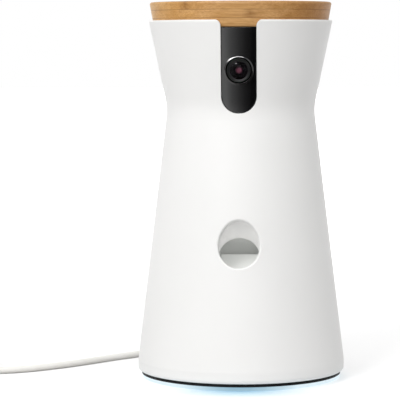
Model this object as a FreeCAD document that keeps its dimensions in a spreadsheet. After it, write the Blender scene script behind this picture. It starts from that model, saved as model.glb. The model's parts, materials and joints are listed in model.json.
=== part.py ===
import FreeCAD, Part
import math
import os

import Sketcher
from FreeCAD import Placement, Rotation, Vector

# A camera that watches a pet and tosses treats to it.  The white shell turns on a fixed base.
# Origin: centre of the base on the floor.  The front, with window and treat hole, faces -Y.
# Z is up, and every size is in millimetres.

SIZES = {
    # outside shape of the shell
    "shell_foot_radius": 61.3,
    "shell_foot_height": 6.4,
    "shell_gap": 0.3,
    "shell_lip_width": 4.6,
    "shell_lip_height": 3.6,
    "shell_corner_radius": 2.0,
    "waist_radius": 43.4,
    "waist_level": 160.4,
    "waist_blend": 36.0,
    "rim_radius": 54.3,
    "rim_edge_radius": 0.95,
    "hole_edge_radius": 0.8,
    "shell_wall": 2.2,
    # lid
    "lid_top_level": 222.5,
    "lid_thickness": 14.7,
    "lid_sink": 4.1,
    "lid_setback": 0.5,
    "lid_play": 0.33,
    "lid_rim_play": 0.2,
    "lid_edge_radius": 1.2,
    "lid_plug_depth": 4.8,
    "lid_plug_wall": 2.5,
    "lid_plug_play": 0.6,
    "gasket_width": 3.5,
    # camera window
    "notch_half_width": 10.2,
    "notch_drop": 24.8,
    "notch_end_radius": 10.0,
    "notch_top_radius": 3.7,
    "window_play": 0.2,
    "window_inset": 1.2,
    "window_front_thickness": 2.2,
    "window_flange_thickness": 0.9,
    "window_flange_width": 2.4,
    "window_lid_gap": 0.5,
    # camera
    "lens_drop": 24.8,
    "bezel_radius": 8.4,
    "bezel_bore": 6.3,
    "bezel_height": 0.22,
    "bezel_depth": 5.0,
    "barrel_radius": 6.2,
    "barrel_inset": 1.0,
    "barrel_depth": 10.6,
    "barrel_bore": 5.4,
    "glass_radius": 5.3,
    "glass_inset": 0.7,
    "glass_thickness": 1.6,
    "camera_board_half_width": 9.6,
    "camera_board_half_height": 14.0,
    "camera_board_thickness": 1.2,
    "infrared_radius": 1.5,
    "infrared_spread": 7.2,
    "infrared_rise": 10.5,
    "infrared_height": 3.0,
    "microphone_half_width": 1.5,
    "microphone_drop": 11.0,
    "microphone_height": 1.2,
    "bracket_plate": 2.0,
    "bracket_half_width": 13.2,
    "bracket_drop": 17.0,
    "bracket_lid_gap": 3.2,
    # floor group of the base
    "foot_width": 6.0,
    "foot_gap": 2.5,
    "foot_height": 2.6,
    "base_plate_overlap": 2.5,
    "base_plate_thickness": 1.5,
    "light_ring_inset": 0.5,
    "light_ring_width": 5.9,
    "light_ring_low": 0.5,
    "cord_channel_half_width": 2.3,
    "cord_channel_top": 4.25,
    "recess_half_width": 7.5,
    "socket_play": 0.5,
    "recess_length": 16.3,
    "plug_play": 0.25,
    "relief_half_width": 4.2,
    "relief_setback": 6.4,
    "recess_wall": 1.5,
    "socket_chamber_half_width": 10.4,
    "hub_gap": 0.2,
    "lamp_inset": 1.5,
    # power socket
    "socket_width": 9.0,
    "socket_height": 3.3,
    "socket_length": 7.0,
    "socket_wall": 0.3,
    "socket_board_thickness": 1.6,
    "plug_level": 4.05,
    # pan axle, gear and bearing
    "hub_flange_radius": 12.0,
    "hub_flange_thickness": 1.9,
    "hub_shoulder_radius": 10.5,
    "axle_radius": 9.0,
    "axle_bore": 4.6,
    "axle_top": 23.0,
    "hub_screw_circle": 6.8,
    "screw_radius": 1.3,
    "screw_head_radius": 2.4,
    "screw_head_height": 1.4,
    "fixed_gear_lift": 1.0,
    "fixed_gear_width": 3.5,
    "gear_module": 0.8,
    "race_inner": 37.0,
    "race_outer": 43.0,
    "race_thickness": 2.0,
    "race_seat_rise": 0.2,
    "ball_radius": 1.45,
    "ball_play": 0.05,
    "cage_thickness": 1.6,
    "cable_ring_outer": 19.0,
    "cable_ring_thickness": 2.0,
    "running_clearance": 0.06,
    "bush_wall": 2.0,
    "clip_thickness": 1.2,
    "clip_depth": 0.6,
    "clip_reach": 2.8,
    # turning frame
    "chassis_play": 2.8,
    "chassis_thickness": 3.0,
    "post_radius": 3.5,
    "rear_post_x": 26.0,
    "rear_post_y": 26.0,
    "front_post_x": 30.2,
    "front_post_y": 20.0,
    "middle_frame_low": 140.0,
    "middle_frame_inset": 1.9,
    "middle_frame_thickness": 3.0,
    "boss_setback": 6.0,
    "boss_radius": 4.0,
    "boss_height": 12.0,
    "motor_width": 12.0,
    "motor_depth": 10.0,
    "motor_length": 24.0,
    "motor_shaft_radius": 1.5,
    "motor_nose": 2.0,
    "motor_bore_depth": 5.0,
    "shaft_entry": 4.0,
    "pan_motor_pad": 1.6,
    # hopper and feed
    "hopper_offset": 5.0,
    "hopper_play": 4.2,
    "hopper_wall": 2.0,
    "hopper_floor": 2.5,
    "hopper_flange_play": 2.7,
    "hopper_flange_thickness": 1.8,
    "hopper_leg_setback": 6.0,
    "hopper_leg_radius": 3.0,
    "wheel_play": 0.6,
    "wheel_height": 11.7,
    "wheel_shaft_radius": 2.5,
    "pocket_wall": 2.0,
    "pocket_radius": 7.8,
    "drop_radius": 8.4,
    "drop_wall": 1.5,
    "baffle_gap": 1.0,
    "baffle_thickness": 1.6,
    "feed_gear_width": 3.0,
    "feed_gear_lift": 0.8,
    "feed_gear_play": 0.7,
    # launcher
    "chute_angle": 37.0,
    "treat_hole_level": 84.4,
    "treat_hole_radius": 11.85,
    "chute_lip": 0.25,
    "chute_wall": 1.0,
    "chute_roof": 13.2,
    "chamber_half_width": 12.0,
    "chamber_front": 35.0,
    "chamber_back": 3.0,
    "chamber_floor": 54.0,
    "chamber_top": 112.0,
    "chamber_wall": 2.0,
    "kicker_y": 32.0,
    "kicker_z": 60.0,
    "kicker_length": 18.2,
    "kicker_thickness": 2.0,
    "kicker_play": 0.8,
    "kicker_barrel": 2.6,
    "kicker_bush_radius": 3.0,
    "kicker_gear_gap": 0.6,
    "kicker_gear_width": 3.8,
    "winding_angle": 8.9018,
    "winding_gear_gap": 1.1,
    "winding_gear_width": 3.0,
    "launch_motor_angle": 42.4893,
    "gear_bracket_gap": 1.5,
    "gear_bracket_thickness": 2.0,
    "spring_radius": 3.4,
    "spring_wire": 0.4,
    "spring_pitch": 1.0,
    # rear carrier, boards and speaker
    "carrier_half_width": 27.0,
    "carrier_thickness": 2.0,
    "main_board_half_width": 20.0,
    "main_board_low": 88.0,
    "main_board_high": 136.0,
    "main_board_thickness": 1.6,
    "board_standoff": 2.4,
    "speaker_level": 62.0,
    "speaker_radius": 18.0,
    "speaker_depth": 13.5,
    "grille_hole_radius": 0.9,
    "grille_pitch": 4.6,
    # reset button
    "reset_x": 18.0,
    "reset_y": 20.0,
    "reset_radius": 2.4,
    "reset_travel": 0.5,
    # cord
    "cord_radius": 2.0,
    "plug_height": 6.0,
    "plug_width": 12.0,
    "coil_mid_radius": 27.5,
    "coil_inner": 15.5,
    "coil_low": 0.6,
    "coil_height": 16.0,
    "tie_thickness": 0.5,
    "tie_width": 5.0,
    "tail_length": 17.0,
    "supply_relief_length": 13.0,
    "supply_grip_length": 22.0,
    "supply_grip_width": 16.0,
    "supply_grip_height": 8.2,
    "supply_shell_length": 12.0,
    "supply_shell_width": 12.0,
    "supply_shell_height": 4.5,
    "supply_shell_wall": 0.4,
}

PAN_TEETH = 60
PAN_PINION_TEETH = 12
FEED_TEETH = 20
FEED_PINION_TEETH = 10
KICKER_TEETH = 30
WINDING_PINION_TEETH = 12
WINDING_TEETH = 36
LAUNCH_PINION_TEETH = 10
FEED_POCKETS = 6
SPRING_TURNS = 4
BALLS = 16
PRESSURE_ANGLE = math.radians(20)

# Centre line of the cord from the strain relief in the base to the coil: x, y, z.
CORD_POINTS = [
    (0.0, 49.5, 2.05),
    (0.0, 80.0, 2.05),
    (-34.0, 98.0, 2.05),
    (-72.0, 70.0, 2.05),
    (-102.0, 33.0, 2.05),
    (-136.0, 3.0, 2.05),
    (-180.0, -3.6, 2.6),
]

doc = FreeCAD.newDocument("PetCamera")
NODES = []


# ---------------------------------------------------------------- sizes

class Size:
    """A number together with the spreadsheet expression that gives it."""

    def __init__(self, text, value):
        self.text = text
        self.value = value

    def __add__(self, other):
        other = as_size(other)
        return Size(f"({self.text} + {other.text})", self.value + other.value)

    def __sub__(self, other):
        other = as_size(other)
        return Size(f"({self.text} - {other.text})", self.value - other.value)

    def __mul__(self, other):
        other = as_size(other)
        return Size(f"({self.text} * {other.text})", self.value * other.value)

    def __truediv__(self, other):
        other = as_size(other)
        return Size(f"({self.text} / {other.text})", self.value / other.value)

    def __neg__(self):
        return Size(f"(-1 * {self.text})", -self.value)

    def __radd__(self, other):
        return as_size(other) + self

    def __rsub__(self, other):
        return as_size(other) - self

    def __rmul__(self, other):
        return as_size(other) * self


def as_size(number):
    """A plain number as a Size."""
    if isinstance(number, Size):
        return number
    return Size(repr(float(number)), float(number))


class SizeTable:
    """The driving dimensions, kept in a spreadsheet and read as attributes."""

    def __init__(self, sizes):
        self.sheet = doc.addObject("Spreadsheet::Sheet", "Sizes")
        self.values = sizes
        for row, (name, value) in enumerate(sizes.items(), start=1):
            self.sheet.set(f"A{row}", name)
            self.sheet.set(f"B{row}", repr(value))
            self.sheet.setAlias(f"B{row}", name)
        doc.recompute()

    def __getattr__(self, name):
        return Size(f"Sizes.{name}", self.values[name])


S = SizeTable(SIZES)


def bind(thing, prop, number):
    """Bind one property of a document object to the sheet, or set a plain number."""
    thing.setExpression(prop, as_size(number).text)


def shell_radius(level):
    """Outer radius of the shell's upper cone at a level, as the sharp cones give it."""
    slope = (S.rim_radius - S.waist_radius) / (S.rim_level - S.waist_level)
    return S.waist_radius + (as_size(level) - S.waist_level) * slope


def body_radius(level):
    """Outer radius of the shell's lower cone at a level."""
    slope = (S.shell_foot_radius - S.waist_radius) / (S.waist_level - S.shell_foot_top)
    return S.waist_radius + (S.waist_level - as_size(level)) * slope


def pitch_radius(teeth):
    """Pitch radius of a gear of the common module."""
    return S.gear_module * (teeth / 2)


# ---------------------------------------------------------------- sizes that follow from others

plate_top = S.foot_height + S.base_plate_thickness
S.shell_bottom = plate_top + S.shell_gap
S.shell_foot_top = S.shell_bottom + S.shell_foot_height
S.shell_lip_top = S.shell_bottom + S.shell_lip_height
S.shell_lip_radius = S.shell_foot_radius - S.shell_lip_width
S.base_plate_radius = S.shell_lip_radius + S.base_plate_overlap
S.light_ring_outer = S.base_plate_radius - S.light_ring_inset
S.light_ring_inner = S.light_ring_outer - S.light_ring_width
S.lamp_slot_radius = S.light_ring_inner + S.lamp_inset
S.foot_outer = S.light_ring_inner - S.foot_gap
S.foot_inner = S.foot_outer - S.foot_width
S.socket_chamber_front = S.hub_flange_radius + S.recess_wall + S.hub_gap
S.recess_front = S.socket_chamber_front + S.socket_length + S.socket_play
S.recess_back = S.recess_front + S.recess_length
S.recess_top = S.plug_level + S.plug_height / 2 + S.plug_play
S.relief_back = S.shell_lip_radius - S.relief_setback
S.race_seat = S.recess_top + S.recess_wall + S.race_seat_rise
S.fixed_gear_low = S.race_seat + S.fixed_gear_lift
S.chassis_radius = S.shell_foot_radius - S.shell_wall - S.chassis_play
S.boss_circle = S.chassis_radius - S.boss_setback
S.lid_bottom = S.lid_top_level - S.lid_thickness
S.rim_level = S.lid_bottom + S.lid_sink
S.lid_top_radius = S.rim_radius - S.lid_setback
S.lid_rim_radius = S.rim_radius - S.shell_wall - S.lid_rim_play
S.lid_bottom_radius = shell_radius(S.lid_bottom) - S.shell_wall - S.lid_play
S.window_top = S.lid_bottom - S.window_lid_gap
S.lens_level = S.lid_bottom - S.lens_drop
S.notch_low = S.lens_level - S.notch_drop
S.bezel_front = shell_radius(S.lens_level) + S.bezel_height
S.barrel_front = S.bezel_front - S.barrel_inset
S.glass_front = S.bezel_front - S.glass_inset
S.bracket_low = S.lens_level - S.bracket_drop
S.bracket_high = S.lid_bottom - S.bracket_lid_gap
S.middle_frame_radius = S.waist_radius - S.middle_frame_inset
S.hopper_inner = S.waist_radius - S.shell_wall - S.hopper_offset - S.hopper_wall - S.hopper_play
S.hopper_flange_radius = S.rim_radius - S.shell_wall - S.hopper_flange_play
S.hopper_leg_circle = S.hopper_inner - S.hopper_leg_setback
S.pocket_circle = S.hopper_inner - S.pocket_radius - S.pocket_wall
S.chute_inner = S.treat_hole_radius - S.chute_lip
S.chute_outer = S.chute_inner + S.chute_wall
S.kicker_half_width = S.chamber_half_width - S.kicker_play
S.kicker_gear_x = S.chamber_half_width + S.chamber_wall + S.kicker_gear_gap
S.winding_gear_x = S.kicker_gear_x + S.kicker_gear_width + S.winding_gear_gap
S.gear_bracket_x = S.winding_gear_x + S.winding_gear_width + S.gear_bracket_gap
winding_turn = math.radians(S.winding_angle.value)
winding_reach = pitch_radius(KICKER_TEETH + WINDING_PINION_TEETH)
S.winding_y = S.kicker_y - winding_reach * math.cos(winding_turn)
S.winding_z = S.kicker_z - winding_reach * math.sin(winding_turn)
launch_turn = math.radians(S.launch_motor_angle.value)
launch_reach = pitch_radius(WINDING_TEETH + LAUNCH_PINION_TEETH)
S.launch_motor_y = S.winding_y - launch_reach * math.cos(launch_turn)
S.launch_motor_z = S.winding_z - launch_reach * math.sin(launch_turn)


# ---------------------------------------------------------------- sketches

def corner_data(corners):
    """Where the straight runs and the round corners of a closed outline start and end."""
    plain = [(as_size(c[0]).value, as_size(c[1]).value) for c in corners]
    count = len(plain)
    data = []
    for i in range(count):
        here = Vector(*plain[i], 0)
        if len(corners[i]) < 3:
            data.append((here, here, None))
            continue
        into = (here - Vector(*plain[i - 1], 0)).normalize()
        out = (Vector(*plain[(i + 1) % count], 0) - here).normalize()
        turn = into.getAngle(out)
        radius = as_size(corners[i][2]).value
        reach = radius * math.tan(turn / 2)
        left = into.cross(out).z > 0
        side = Vector(-into.y, into.x, 0) if left else Vector(into.y, -into.x, 0)
        start = here - into * reach
        data.append((start, here + out * reach, (start + side * radius, radius, left)))
    return data


def add_arc(sketch, start, end, arc):
    """The round corner's arc, and which of its ends comes first along the outline."""
    centre, radius, left = arc
    first, last = (start, end) if left else (end, start)
    angle = [math.atan2(p.y - centre.y, p.x - centre.x) for p in (first, last)]
    circle = Part.Circle(centre, Vector(0, 0, 1), radius)
    index = sketch.addGeometry(Part.ArcOfCircle(circle, angle[0], angle[1]), False)
    return index, (1, 2) if left else (2, 1)


def outline(sketch, corners):
    """A closed outline: corners are (x, y) or (x, y, rounding), all bound to the sheet."""
    data = corner_data(corners)
    count = len(corners)
    lines = []
    for i in range(count):
        segment = Part.LineSegment(data[i][1], data[(i + 1) % count][0])
        lines.append(sketch.addGeometry(segment, False))
    for i, corner in enumerate(corners):
        before, after = lines[i - 1], lines[i]
        start, end, arc = data[i]
        if arc is None:
            sketch.addConstraint(Sketcher.Constraint("Coincident", before, 2, after, 1))
            place_point(sketch, after, corner)
            continue
        index, ends = add_arc(sketch, start, end, arc)
        here = Vector(as_size(corner[0]).value, as_size(corner[1]).value, 0)
        point = sketch.addGeometry(Part.Point(here), True)
        place_point(sketch, point, corner)
        for line in (before, after):
            sketch.addConstraint(Sketcher.Constraint("PointOnObject", point, 1, line))
        sketch.addConstraint(Sketcher.Constraint("Tangent", before, 2, index, ends[0]))
        sketch.addConstraint(Sketcher.Constraint("Tangent", index, ends[1], after, 1))
        radius = sketch.addConstraint(Sketcher.Constraint("Radius", index, arc[1]))
        sketch.setExpression(f"Constraints[{radius}]", as_size(corner[2]).text)


def place_point(sketch, geometry, corner):
    """Fix a point at its two bound distances from the sketch's origin."""
    for kind, number in (("DistanceX", corner[0]), ("DistanceY", corner[1])):
        number = as_size(number)
        constraint = Sketcher.Constraint(kind, -1, 1, geometry, 1, number.value)
        index = sketch.addConstraint(constraint)
        sketch.setExpression(f"Constraints[{index}]", number.text)


def circle_outline(sketch, x, y, radius):
    """A circle whose centre and radius are bound to the sheet."""
    x, y, radius = as_size(x), as_size(y), as_size(radius)
    circle = Part.Circle(Vector(x.value, y.value, 0), Vector(0, 0, 1), radius.value)
    index = sketch.addGeometry(circle, False)
    size = sketch.addConstraint(Sketcher.Constraint("Radius", index, radius.value))
    sketch.setExpression(f"Constraints[{size}]", radius.text)
    for kind, number in (("DistanceX", x), ("DistanceY", y)):
        constraint = Sketcher.Constraint(kind, -1, 1, index, 3, number.value)
        sketch.setExpression(f"Constraints[{sketch.addConstraint(constraint)}]", number.text)


# ---------------------------------------------------------------- pieces

TURN = {
    "z": Rotation(),
    "x": Rotation(Vector(0, 1, 0), 90),
    "y": Rotation(Vector(1, 0, 0), -90),
}


class Piece:
    """One sub-part as a PartDesign body: each call adds or cuts one feature."""

    def __init__(self, name):
        self.body = doc.addObject("PartDesign::Body", name)
        self.body.Label = name
        self.body.AllowCompound = True
        NODES.append(self.body)

    def primitive(self, kind, cut):
        side = "Subtractive" if cut else "Additive"
        return self.body.newObject(f"PartDesign::{side}{kind}", f"{self.body.Label}_{kind}")

    def place(self, feature, at, rotation):
        feature.Placement = Placement(Vector(0, 0, 0), rotation)
        for prop, number in zip("xyz", at):
            bind(feature, f"Placement.Base.{prop}", number)
        return self

    def cylinder(self, radius, height, at=(0, 0, 0), axis="z", cut=False):
        """A cylinder that starts at a point and runs along an axis, or a given rotation."""
        feature = self.primitive("Cylinder", cut)
        bind(feature, "Radius", radius)
        bind(feature, "Height", height)
        return self.place(feature, at, axis if isinstance(axis, Rotation) else TURN[axis])

    def cone(self, radius, top_radius, height, at=(0, 0, 0), axis="z", cut=False):
        """A cone that starts at a point with its first radius."""
        feature = self.primitive("Cone", cut)
        bind(feature, "Radius1", radius)
        bind(feature, "Radius2", top_radius)
        bind(feature, "Height", height)
        return self.place(feature, at, TURN[axis])

    def torus(self, radius, thickness, at, axis):
        """A ring of round section about a point."""
        feature = self.primitive("Torus", False)
        bind(feature, "Radius1", radius)
        bind(feature, "Radius2", thickness)
        return self.place(feature, at, TURN[axis])

    def ball(self, radius, at):
        """A ball about a point."""
        feature = self.primitive("Sphere", False)
        bind(feature, "Radius", radius)
        return self.place(feature, at, Rotation())

    def box(self, low, high, cut=False, rotation=None):
        """A box between its low and its high corner; a rotation turns it about the low one."""
        feature = self.primitive("Box", cut)
        for prop, start, end in zip(("Length", "Width", "Height"), low, high):
            bind(feature, prop, as_size(end) - start)
        return self.place(feature, low, rotation or Rotation())

    def tube(self, outer, inner, low, high, at=(0, 0), cut=False):
        """An upright ring between two levels, or a groove of that shape."""
        sketch = self.sketch("XY_Plane", low)
        circle_outline(sketch, at[0], at[1], outer)
        circle_outline(sketch, at[0], at[1], inner)
        return self.extrude(sketch, as_size(high) - low, cut, False)

    def sketch(self, role, offset=0.0):
        """A sketch on one of the body's own planes, moved along that plane's normal."""
        body = self.body
        plane = [f for f in body.Origin.OriginFeatures if f.Role == role][0]
        sketch = body.newObject("Sketcher::SketchObject", f"{body.Label}_sketch")
        sketch.AttachmentSupport = [(plane, "")]
        sketch.MapMode = "FlatFace"
        bind(sketch, "AttachmentOffset.Base.z", offset)
        return sketch

    def extrude(self, sketch, length, cut, both):
        """Pad or pocket a sketch along its normal, to one side or to both."""
        kind = "Pocket" if cut else "Pad"
        feature = self.body.newObject(f"PartDesign::{kind}", f"{self.body.Label}_{kind}")
        feature.Profile = sketch
        feature.Midplane = both
        feature.Reversed = cut and not both
        bind(feature, "Length", length)
        sketch.Visibility = False
        return self

    def prism(self, role, corners, start, length, cut=False, both=False):
        """A straight prism of an outline; start and length run along the plane's normal."""
        sketch = self.sketch(role, start)
        outline(sketch, corners)
        return self.extrude(sketch, length, cut, both)

    def revolve(self, corners, cut=False):
        """A turned shape: corners are (radius, level) with an optional rounding."""
        sketch = self.sketch("XZ_Plane")
        outline(sketch, corners)
        kind = "Groove" if cut else "Revolution"
        feature = self.body.newObject(f"PartDesign::{kind}", f"{self.body.Label}_{kind}")
        feature.Profile = sketch
        feature.ReferenceAxis = (sketch, ["V_Axis"])
        feature.Angle = 360
        sketch.Visibility = False
        return self

    def round_edges(self, radius, wanted):
        """Round the newest feature's edges whose points all pass a test."""
        doc.recompute()
        newest = self.body.Tip
        edges = enumerate(newest.Shape.Edges, start=1)
        names = [f"Edge{i}" for i, edge in edges if all(wanted(point) for point in edge.discretize(7))]
        fillet = self.body.newObject("PartDesign::Fillet", f"{self.body.Label}_round")
        fillet.Base = (newest, names)
        bind(fillet, "Radius", radius)
        return self

    def repeat(self, count, angle=360.0):
        """Repeat the newest feature about the body's upright axis."""
        doc.recompute()
        newest = self.body.Tip
        axis = [f for f in self.body.Origin.OriginFeatures if f.Role == "Z_Axis"][0]
        pattern = self.body.newObject("PartDesign::PolarPattern", f"{self.body.Label}_ring")
        pattern.Originals = [newest]
        pattern.Axis = (axis, [""])
        pattern.Angle = angle
        pattern.Occurrences = count
        self.body.Tip = pattern
        return self


def shape_node(name, shape, at=(0, 0, 0)):
    """A sub-part whose shape comes from Part's own functions."""
    feature = doc.addObject("Part::Feature", name)
    feature.Label = name
    feature.Shape = shape
    move = Placement(Vector(*[as_size(n).value for n in at]), Rotation())
    feature.Placement = move.multiply(shape.Placement)
    NODES.append(feature)
    return feature


# ---------------------------------------------------------------- gears

ADDENDUM = 0.85
DEDENDUM = 1.25
BACKLASH = 0.16
WHEEL_LIFT = 0.3


def gear_shape(teeth, width, bore, tooth_at):
    """A spur gear from z = 0 up, with involute flanks and one tooth centred at an angle."""
    module = S.gear_module.value
    pitch = module * teeth / 2
    base = pitch * math.cos(PRESSURE_ANGLE)
    root = pitch - DEDENDUM * module
    tip = pitch + ADDENDUM * module
    half = math.pi / (2 * teeth) - BACKLASH / (2 * pitch)
    at_pitch = math.tan(PRESSURE_ANGLE) - PRESSURE_ANGLE
    radii = [max(base, root) + (tip - max(base, root)) * i / 3 for i in range(4)]
    flank = [(root, half + at_pitch)] if root < base else []
    for radius in radii:
        pressure = math.acos(min(1.0, base / radius))
        flank.append((radius, half + at_pitch - (math.tan(pressure) - pressure)))
    points = []
    for tooth in range(teeth):
        centre = tooth_at + 2 * math.pi * tooth / teeth
        side = [(r, centre - a) for r, a in flank] + [(r, centre + a) for r, a in reversed(flank)]
        points += [Vector(r * math.cos(a), r * math.sin(a), 0) for r, a in side]
    outer = Part.Wire(Part.makePolygon(points + points[:1]))
    gear = Part.Face(outer).extrude(Vector(0, 0, as_size(width).value))
    if bore is not None:
        gear = gear.cut(Part.makeCylinder(as_size(bore).value, as_size(width).value))
    return gear


def along_x(shape, x):
    """Turn a shape that stands on z = 0 so that it lies along X from the given x."""
    turned = shape.copy()
    turned.Placement = Placement(Vector(as_size(x).value, 0, 0), Rotation(Vector(1, 1, 1), 120))
    return turned


def rod(radius, start, end):
    """A cylinder about Z between two levels."""
    start, end = as_size(start).value, as_size(end).value
    return Part.makeCylinder(as_size(radius).value, end - start, Vector(0, 0, start))


# ---------------------------------------------------------------- levels shared by pieces

race_top = S.race_seat + S.race_thickness
upper_race_low = race_top + (S.ball_radius + S.ball_play) * 2
chassis_low = upper_race_low + S.race_thickness
chassis_top = chassis_low + S.chassis_thickness
frame_top = S.middle_frame_low + S.middle_frame_thickness
S.hopper_low = frame_top + S.feed_gear_lift + S.feed_gear_width + S.feed_gear_play
hopper_floor_top = S.hopper_low + S.hopper_floor
flange_top = S.lid_bottom - S.tie_thickness
hopper_outer = S.hopper_inner + S.hopper_wall
drop_y = S.hopper_offset - S.pocket_circle
pan_distance = pitch_radius(PAN_TEETH + PAN_PINION_TEETH)
feed_distance = pitch_radius(FEED_TEETH + FEED_PINION_TEETH)
feed_motor_x = feed_distance * math.cos(math.radians(45))
feed_motor_y = S.hopper_offset + feed_distance * math.sin(math.radians(45))
carrier_front = S.rear_post_y + S.post_radius
carrier_back = carrier_front + S.carrier_thickness
bush_outer = S.axle_radius + S.bush_wall


# ---------------------------------------------------------------- base, fixed on the floor

def base_plate():
    """Black floor disc with the bearing seat and the housing over the plug recess."""
    piece = Piece("base_plate")
    low, top = S.foot_height, plate_top
    piece.cylinder(S.base_plate_radius, S.base_plate_thickness, (0, 0, low))
    piece.tube(S.race_outer + 0.5, S.race_inner - 0.5, top, S.race_seat)
    wall = S.recess_wall
    dome = S.recess_top + wall
    chamber = S.socket_chamber_half_width + wall
    piece.box((-chamber, S.socket_chamber_front - wall, top), (chamber, S.recess_back + wall, dome))
    relief = S.relief_half_width + wall
    piece.box((-relief, S.recess_back, top), (relief, S.relief_back + wall, dome))
    channel = S.cord_channel_half_width
    roof = S.cord_channel_top + wall
    piece.box((-channel - wall, S.relief_back, top), (channel + wall, S.shell_lip_radius - 1.0, roof))
    chamber = S.socket_chamber_half_width
    piece.box((-chamber, S.socket_chamber_front, 0), (chamber, S.recess_front, S.recess_top), cut=True)
    half = S.recess_half_width
    piece.box((-half, S.recess_front, 0), (half, S.recess_back, S.recess_top), cut=True)
    half = S.relief_half_width
    piece.box((-half, S.recess_back, 0), (half, S.relief_back, S.recess_top), cut=True)
    edge = S.base_plate_radius + 1.0
    piece.box((-channel, S.relief_back, 0), (channel, edge, S.cord_channel_top), cut=True)
    for angle in (30, 150, 270):
        x = S.hub_screw_circle * math.cos(math.radians(angle))
        y = S.hub_screw_circle * math.sin(math.radians(angle))
        piece.cylinder(S.screw_radius, S.base_plate_thickness, (x, y, low), cut=True)
    piece.cylinder(S.axle_bore, S.base_plate_thickness, (0, 0, low), cut=True)
    piece.cylinder(S.reset_radius + 0.2, S.base_plate_thickness, (-S.reset_x, -S.reset_y, low), cut=True)
    for angle in LAMP_ANGLES:
        x, y = lamp_place(angle)
        piece.cylinder(LAMP_RADIUS + 0.2, S.base_plate_thickness, (x, y, low), cut=True)


LAMP_ANGLES = (-130, -110, -90, -70, -50)
LAMP_RADIUS = 1.2


def lamp_place(angle):
    """Where a status lamp stands above the light ring."""
    turn = math.radians(angle)
    return S.lamp_slot_radius * math.cos(turn), S.lamp_slot_radius * math.sin(turn)


def floor_rings():
    """The rubber foot and the translucent light ring, both open where the cord leaves."""
    foot = Piece("rubber_foot")
    foot.tube(S.foot_outer, S.foot_inner, 0, S.foot_height)
    half = S.relief_half_width + 0.3
    foot.box((-half, 0, 0), (half, S.foot_outer + 1.0, S.foot_height), cut=True)
    ring = Piece("light_ring")
    ring.tube(S.light_ring_outer, S.light_ring_inner, S.light_ring_low, S.foot_height)
    half = S.cord_channel_half_width
    ring.box((-half, 0, 0), (half, S.light_ring_outer + 1.0, S.foot_height), cut=True)


def lamps():
    """Curved board with five status lamps that shine into the light ring."""
    board = Piece("lamp_board")
    low = plate_top
    outer = S.shell_lip_radius - 0.8
    board.tube(outer, S.race_outer + 1.0, low, low + 1.0)
    edge = S.shell_foot_radius
    side = outer * 0.5
    board.box((-edge, -side, low), (edge, edge, low + 1.0), cut=True)
    for angle in LAMP_ANGLES:
        x, y = lamp_place(angle)
        board.cylinder(LAMP_RADIUS, S.base_plate_thickness, (x, y, S.foot_height))


def power_socket():
    """Socket for the cord's plug, with its small board under the recess ceiling."""
    board_low = S.recess_top - S.socket_board_thickness
    socket = Piece("power_socket")
    half = S.socket_chamber_half_width - 0.2
    start = S.socket_chamber_front + 0.2
    socket.box((-half, start, board_low), (half, S.recess_front, S.recess_top))
    half = S.socket_width / 2
    front = S.recess_front - S.socket_length
    low = S.plug_level - S.socket_height / 2
    socket.box((-half, front, low), (half, S.recess_front, board_low))
    wall = S.socket_wall
    top = low + S.socket_height - wall
    socket.box((-half + wall, front + 1.0, low + wall), (half - wall, S.recess_front, top), cut=True)


def pan_axle():
    """Hollow axle that the shell turns on, its fixed gear, clip, screws and wound cable."""
    hub = Piece("pan_axle")
    shoulder = plate_top + S.hub_flange_thickness
    hub.cylinder(S.hub_flange_radius, S.hub_flange_thickness, (0, 0, plate_top))
    hub.cylinder(S.hub_shoulder_radius, S.fixed_gear_low - shoulder, (0, 0, shoulder))
    hub.cylinder(S.axle_radius, S.axle_top - S.fixed_gear_low, (0, 0, S.fixed_gear_low))
    hub.cylinder(S.axle_bore, S.axle_top - plate_top, (0, 0, plate_top), cut=True)
    clip_low = chassis_top + 0.4
    clip_top = clip_low + S.clip_thickness
    inner = S.axle_radius - S.clip_depth
    hub.tube(S.axle_radius + 1.0, inner, clip_low, clip_top, cut=True)
    clip = Piece("axle_clip")
    clip.tube(inner + S.clip_reach, inner, clip_low, clip_top)
    clip.box((-1.5, 0, clip_low), (1.5, inner + S.clip_reach + 1.0, clip_top), cut=True)
    gear_width = S.fixed_gear_width
    gear = gear_shape(PAN_TEETH, gear_width, S.axle_radius, math.pi)
    shape_node("fixed_pan_gear", gear, (0, 0, S.fixed_gear_low))
    screws = Piece("axle_screws")
    for angle in (30, 150, 270):
        x = S.hub_screw_circle * math.cos(math.radians(angle))
        y = S.hub_screw_circle * math.sin(math.radians(angle))
        hub.cylinder(S.screw_radius, 8.0, (x, y, plate_top), cut=True)
        screws.cylinder(S.screw_radius, S.base_plate_thickness + 8.0, (x, y, S.foot_height))
        low = S.foot_height - S.screw_head_height
        screws.cylinder(S.screw_head_radius, S.screw_head_height, (x, y, low))
    cable = Piece("wound_cable")
    low = S.fixed_gear_low + gear_width
    cable.tube(S.cable_ring_outer, S.axle_radius + 1.0, low, low + S.cable_ring_thickness)


def bearing():
    """Two flat races with a ring of balls between them, held apart by a cage."""
    Piece("lower_race").tube(S.race_outer, S.race_inner, S.race_seat, race_top)
    Piece("upper_race").tube(S.race_outer, S.race_inner, upper_race_low, chassis_low)
    track = (S.race_inner + S.race_outer) / 2
    middle = (race_top + upper_race_low) / 2
    cage = Piece("ball_cage")
    low = middle - S.cage_thickness / 2
    cage.tube(S.race_outer - 0.5, S.race_inner + 0.5, low, low + S.cage_thickness)
    cage.cylinder(S.ball_radius + 0.1, S.cage_thickness, (track, 0, low), cut=True).repeat(BALLS)
    balls = Piece("bearing_balls")
    for i in range(BALLS):
        turn = 2 * math.pi * i / BALLS
        balls.ball(S.ball_radius, (track * math.cos(turn), track * math.sin(turn), middle))


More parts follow.
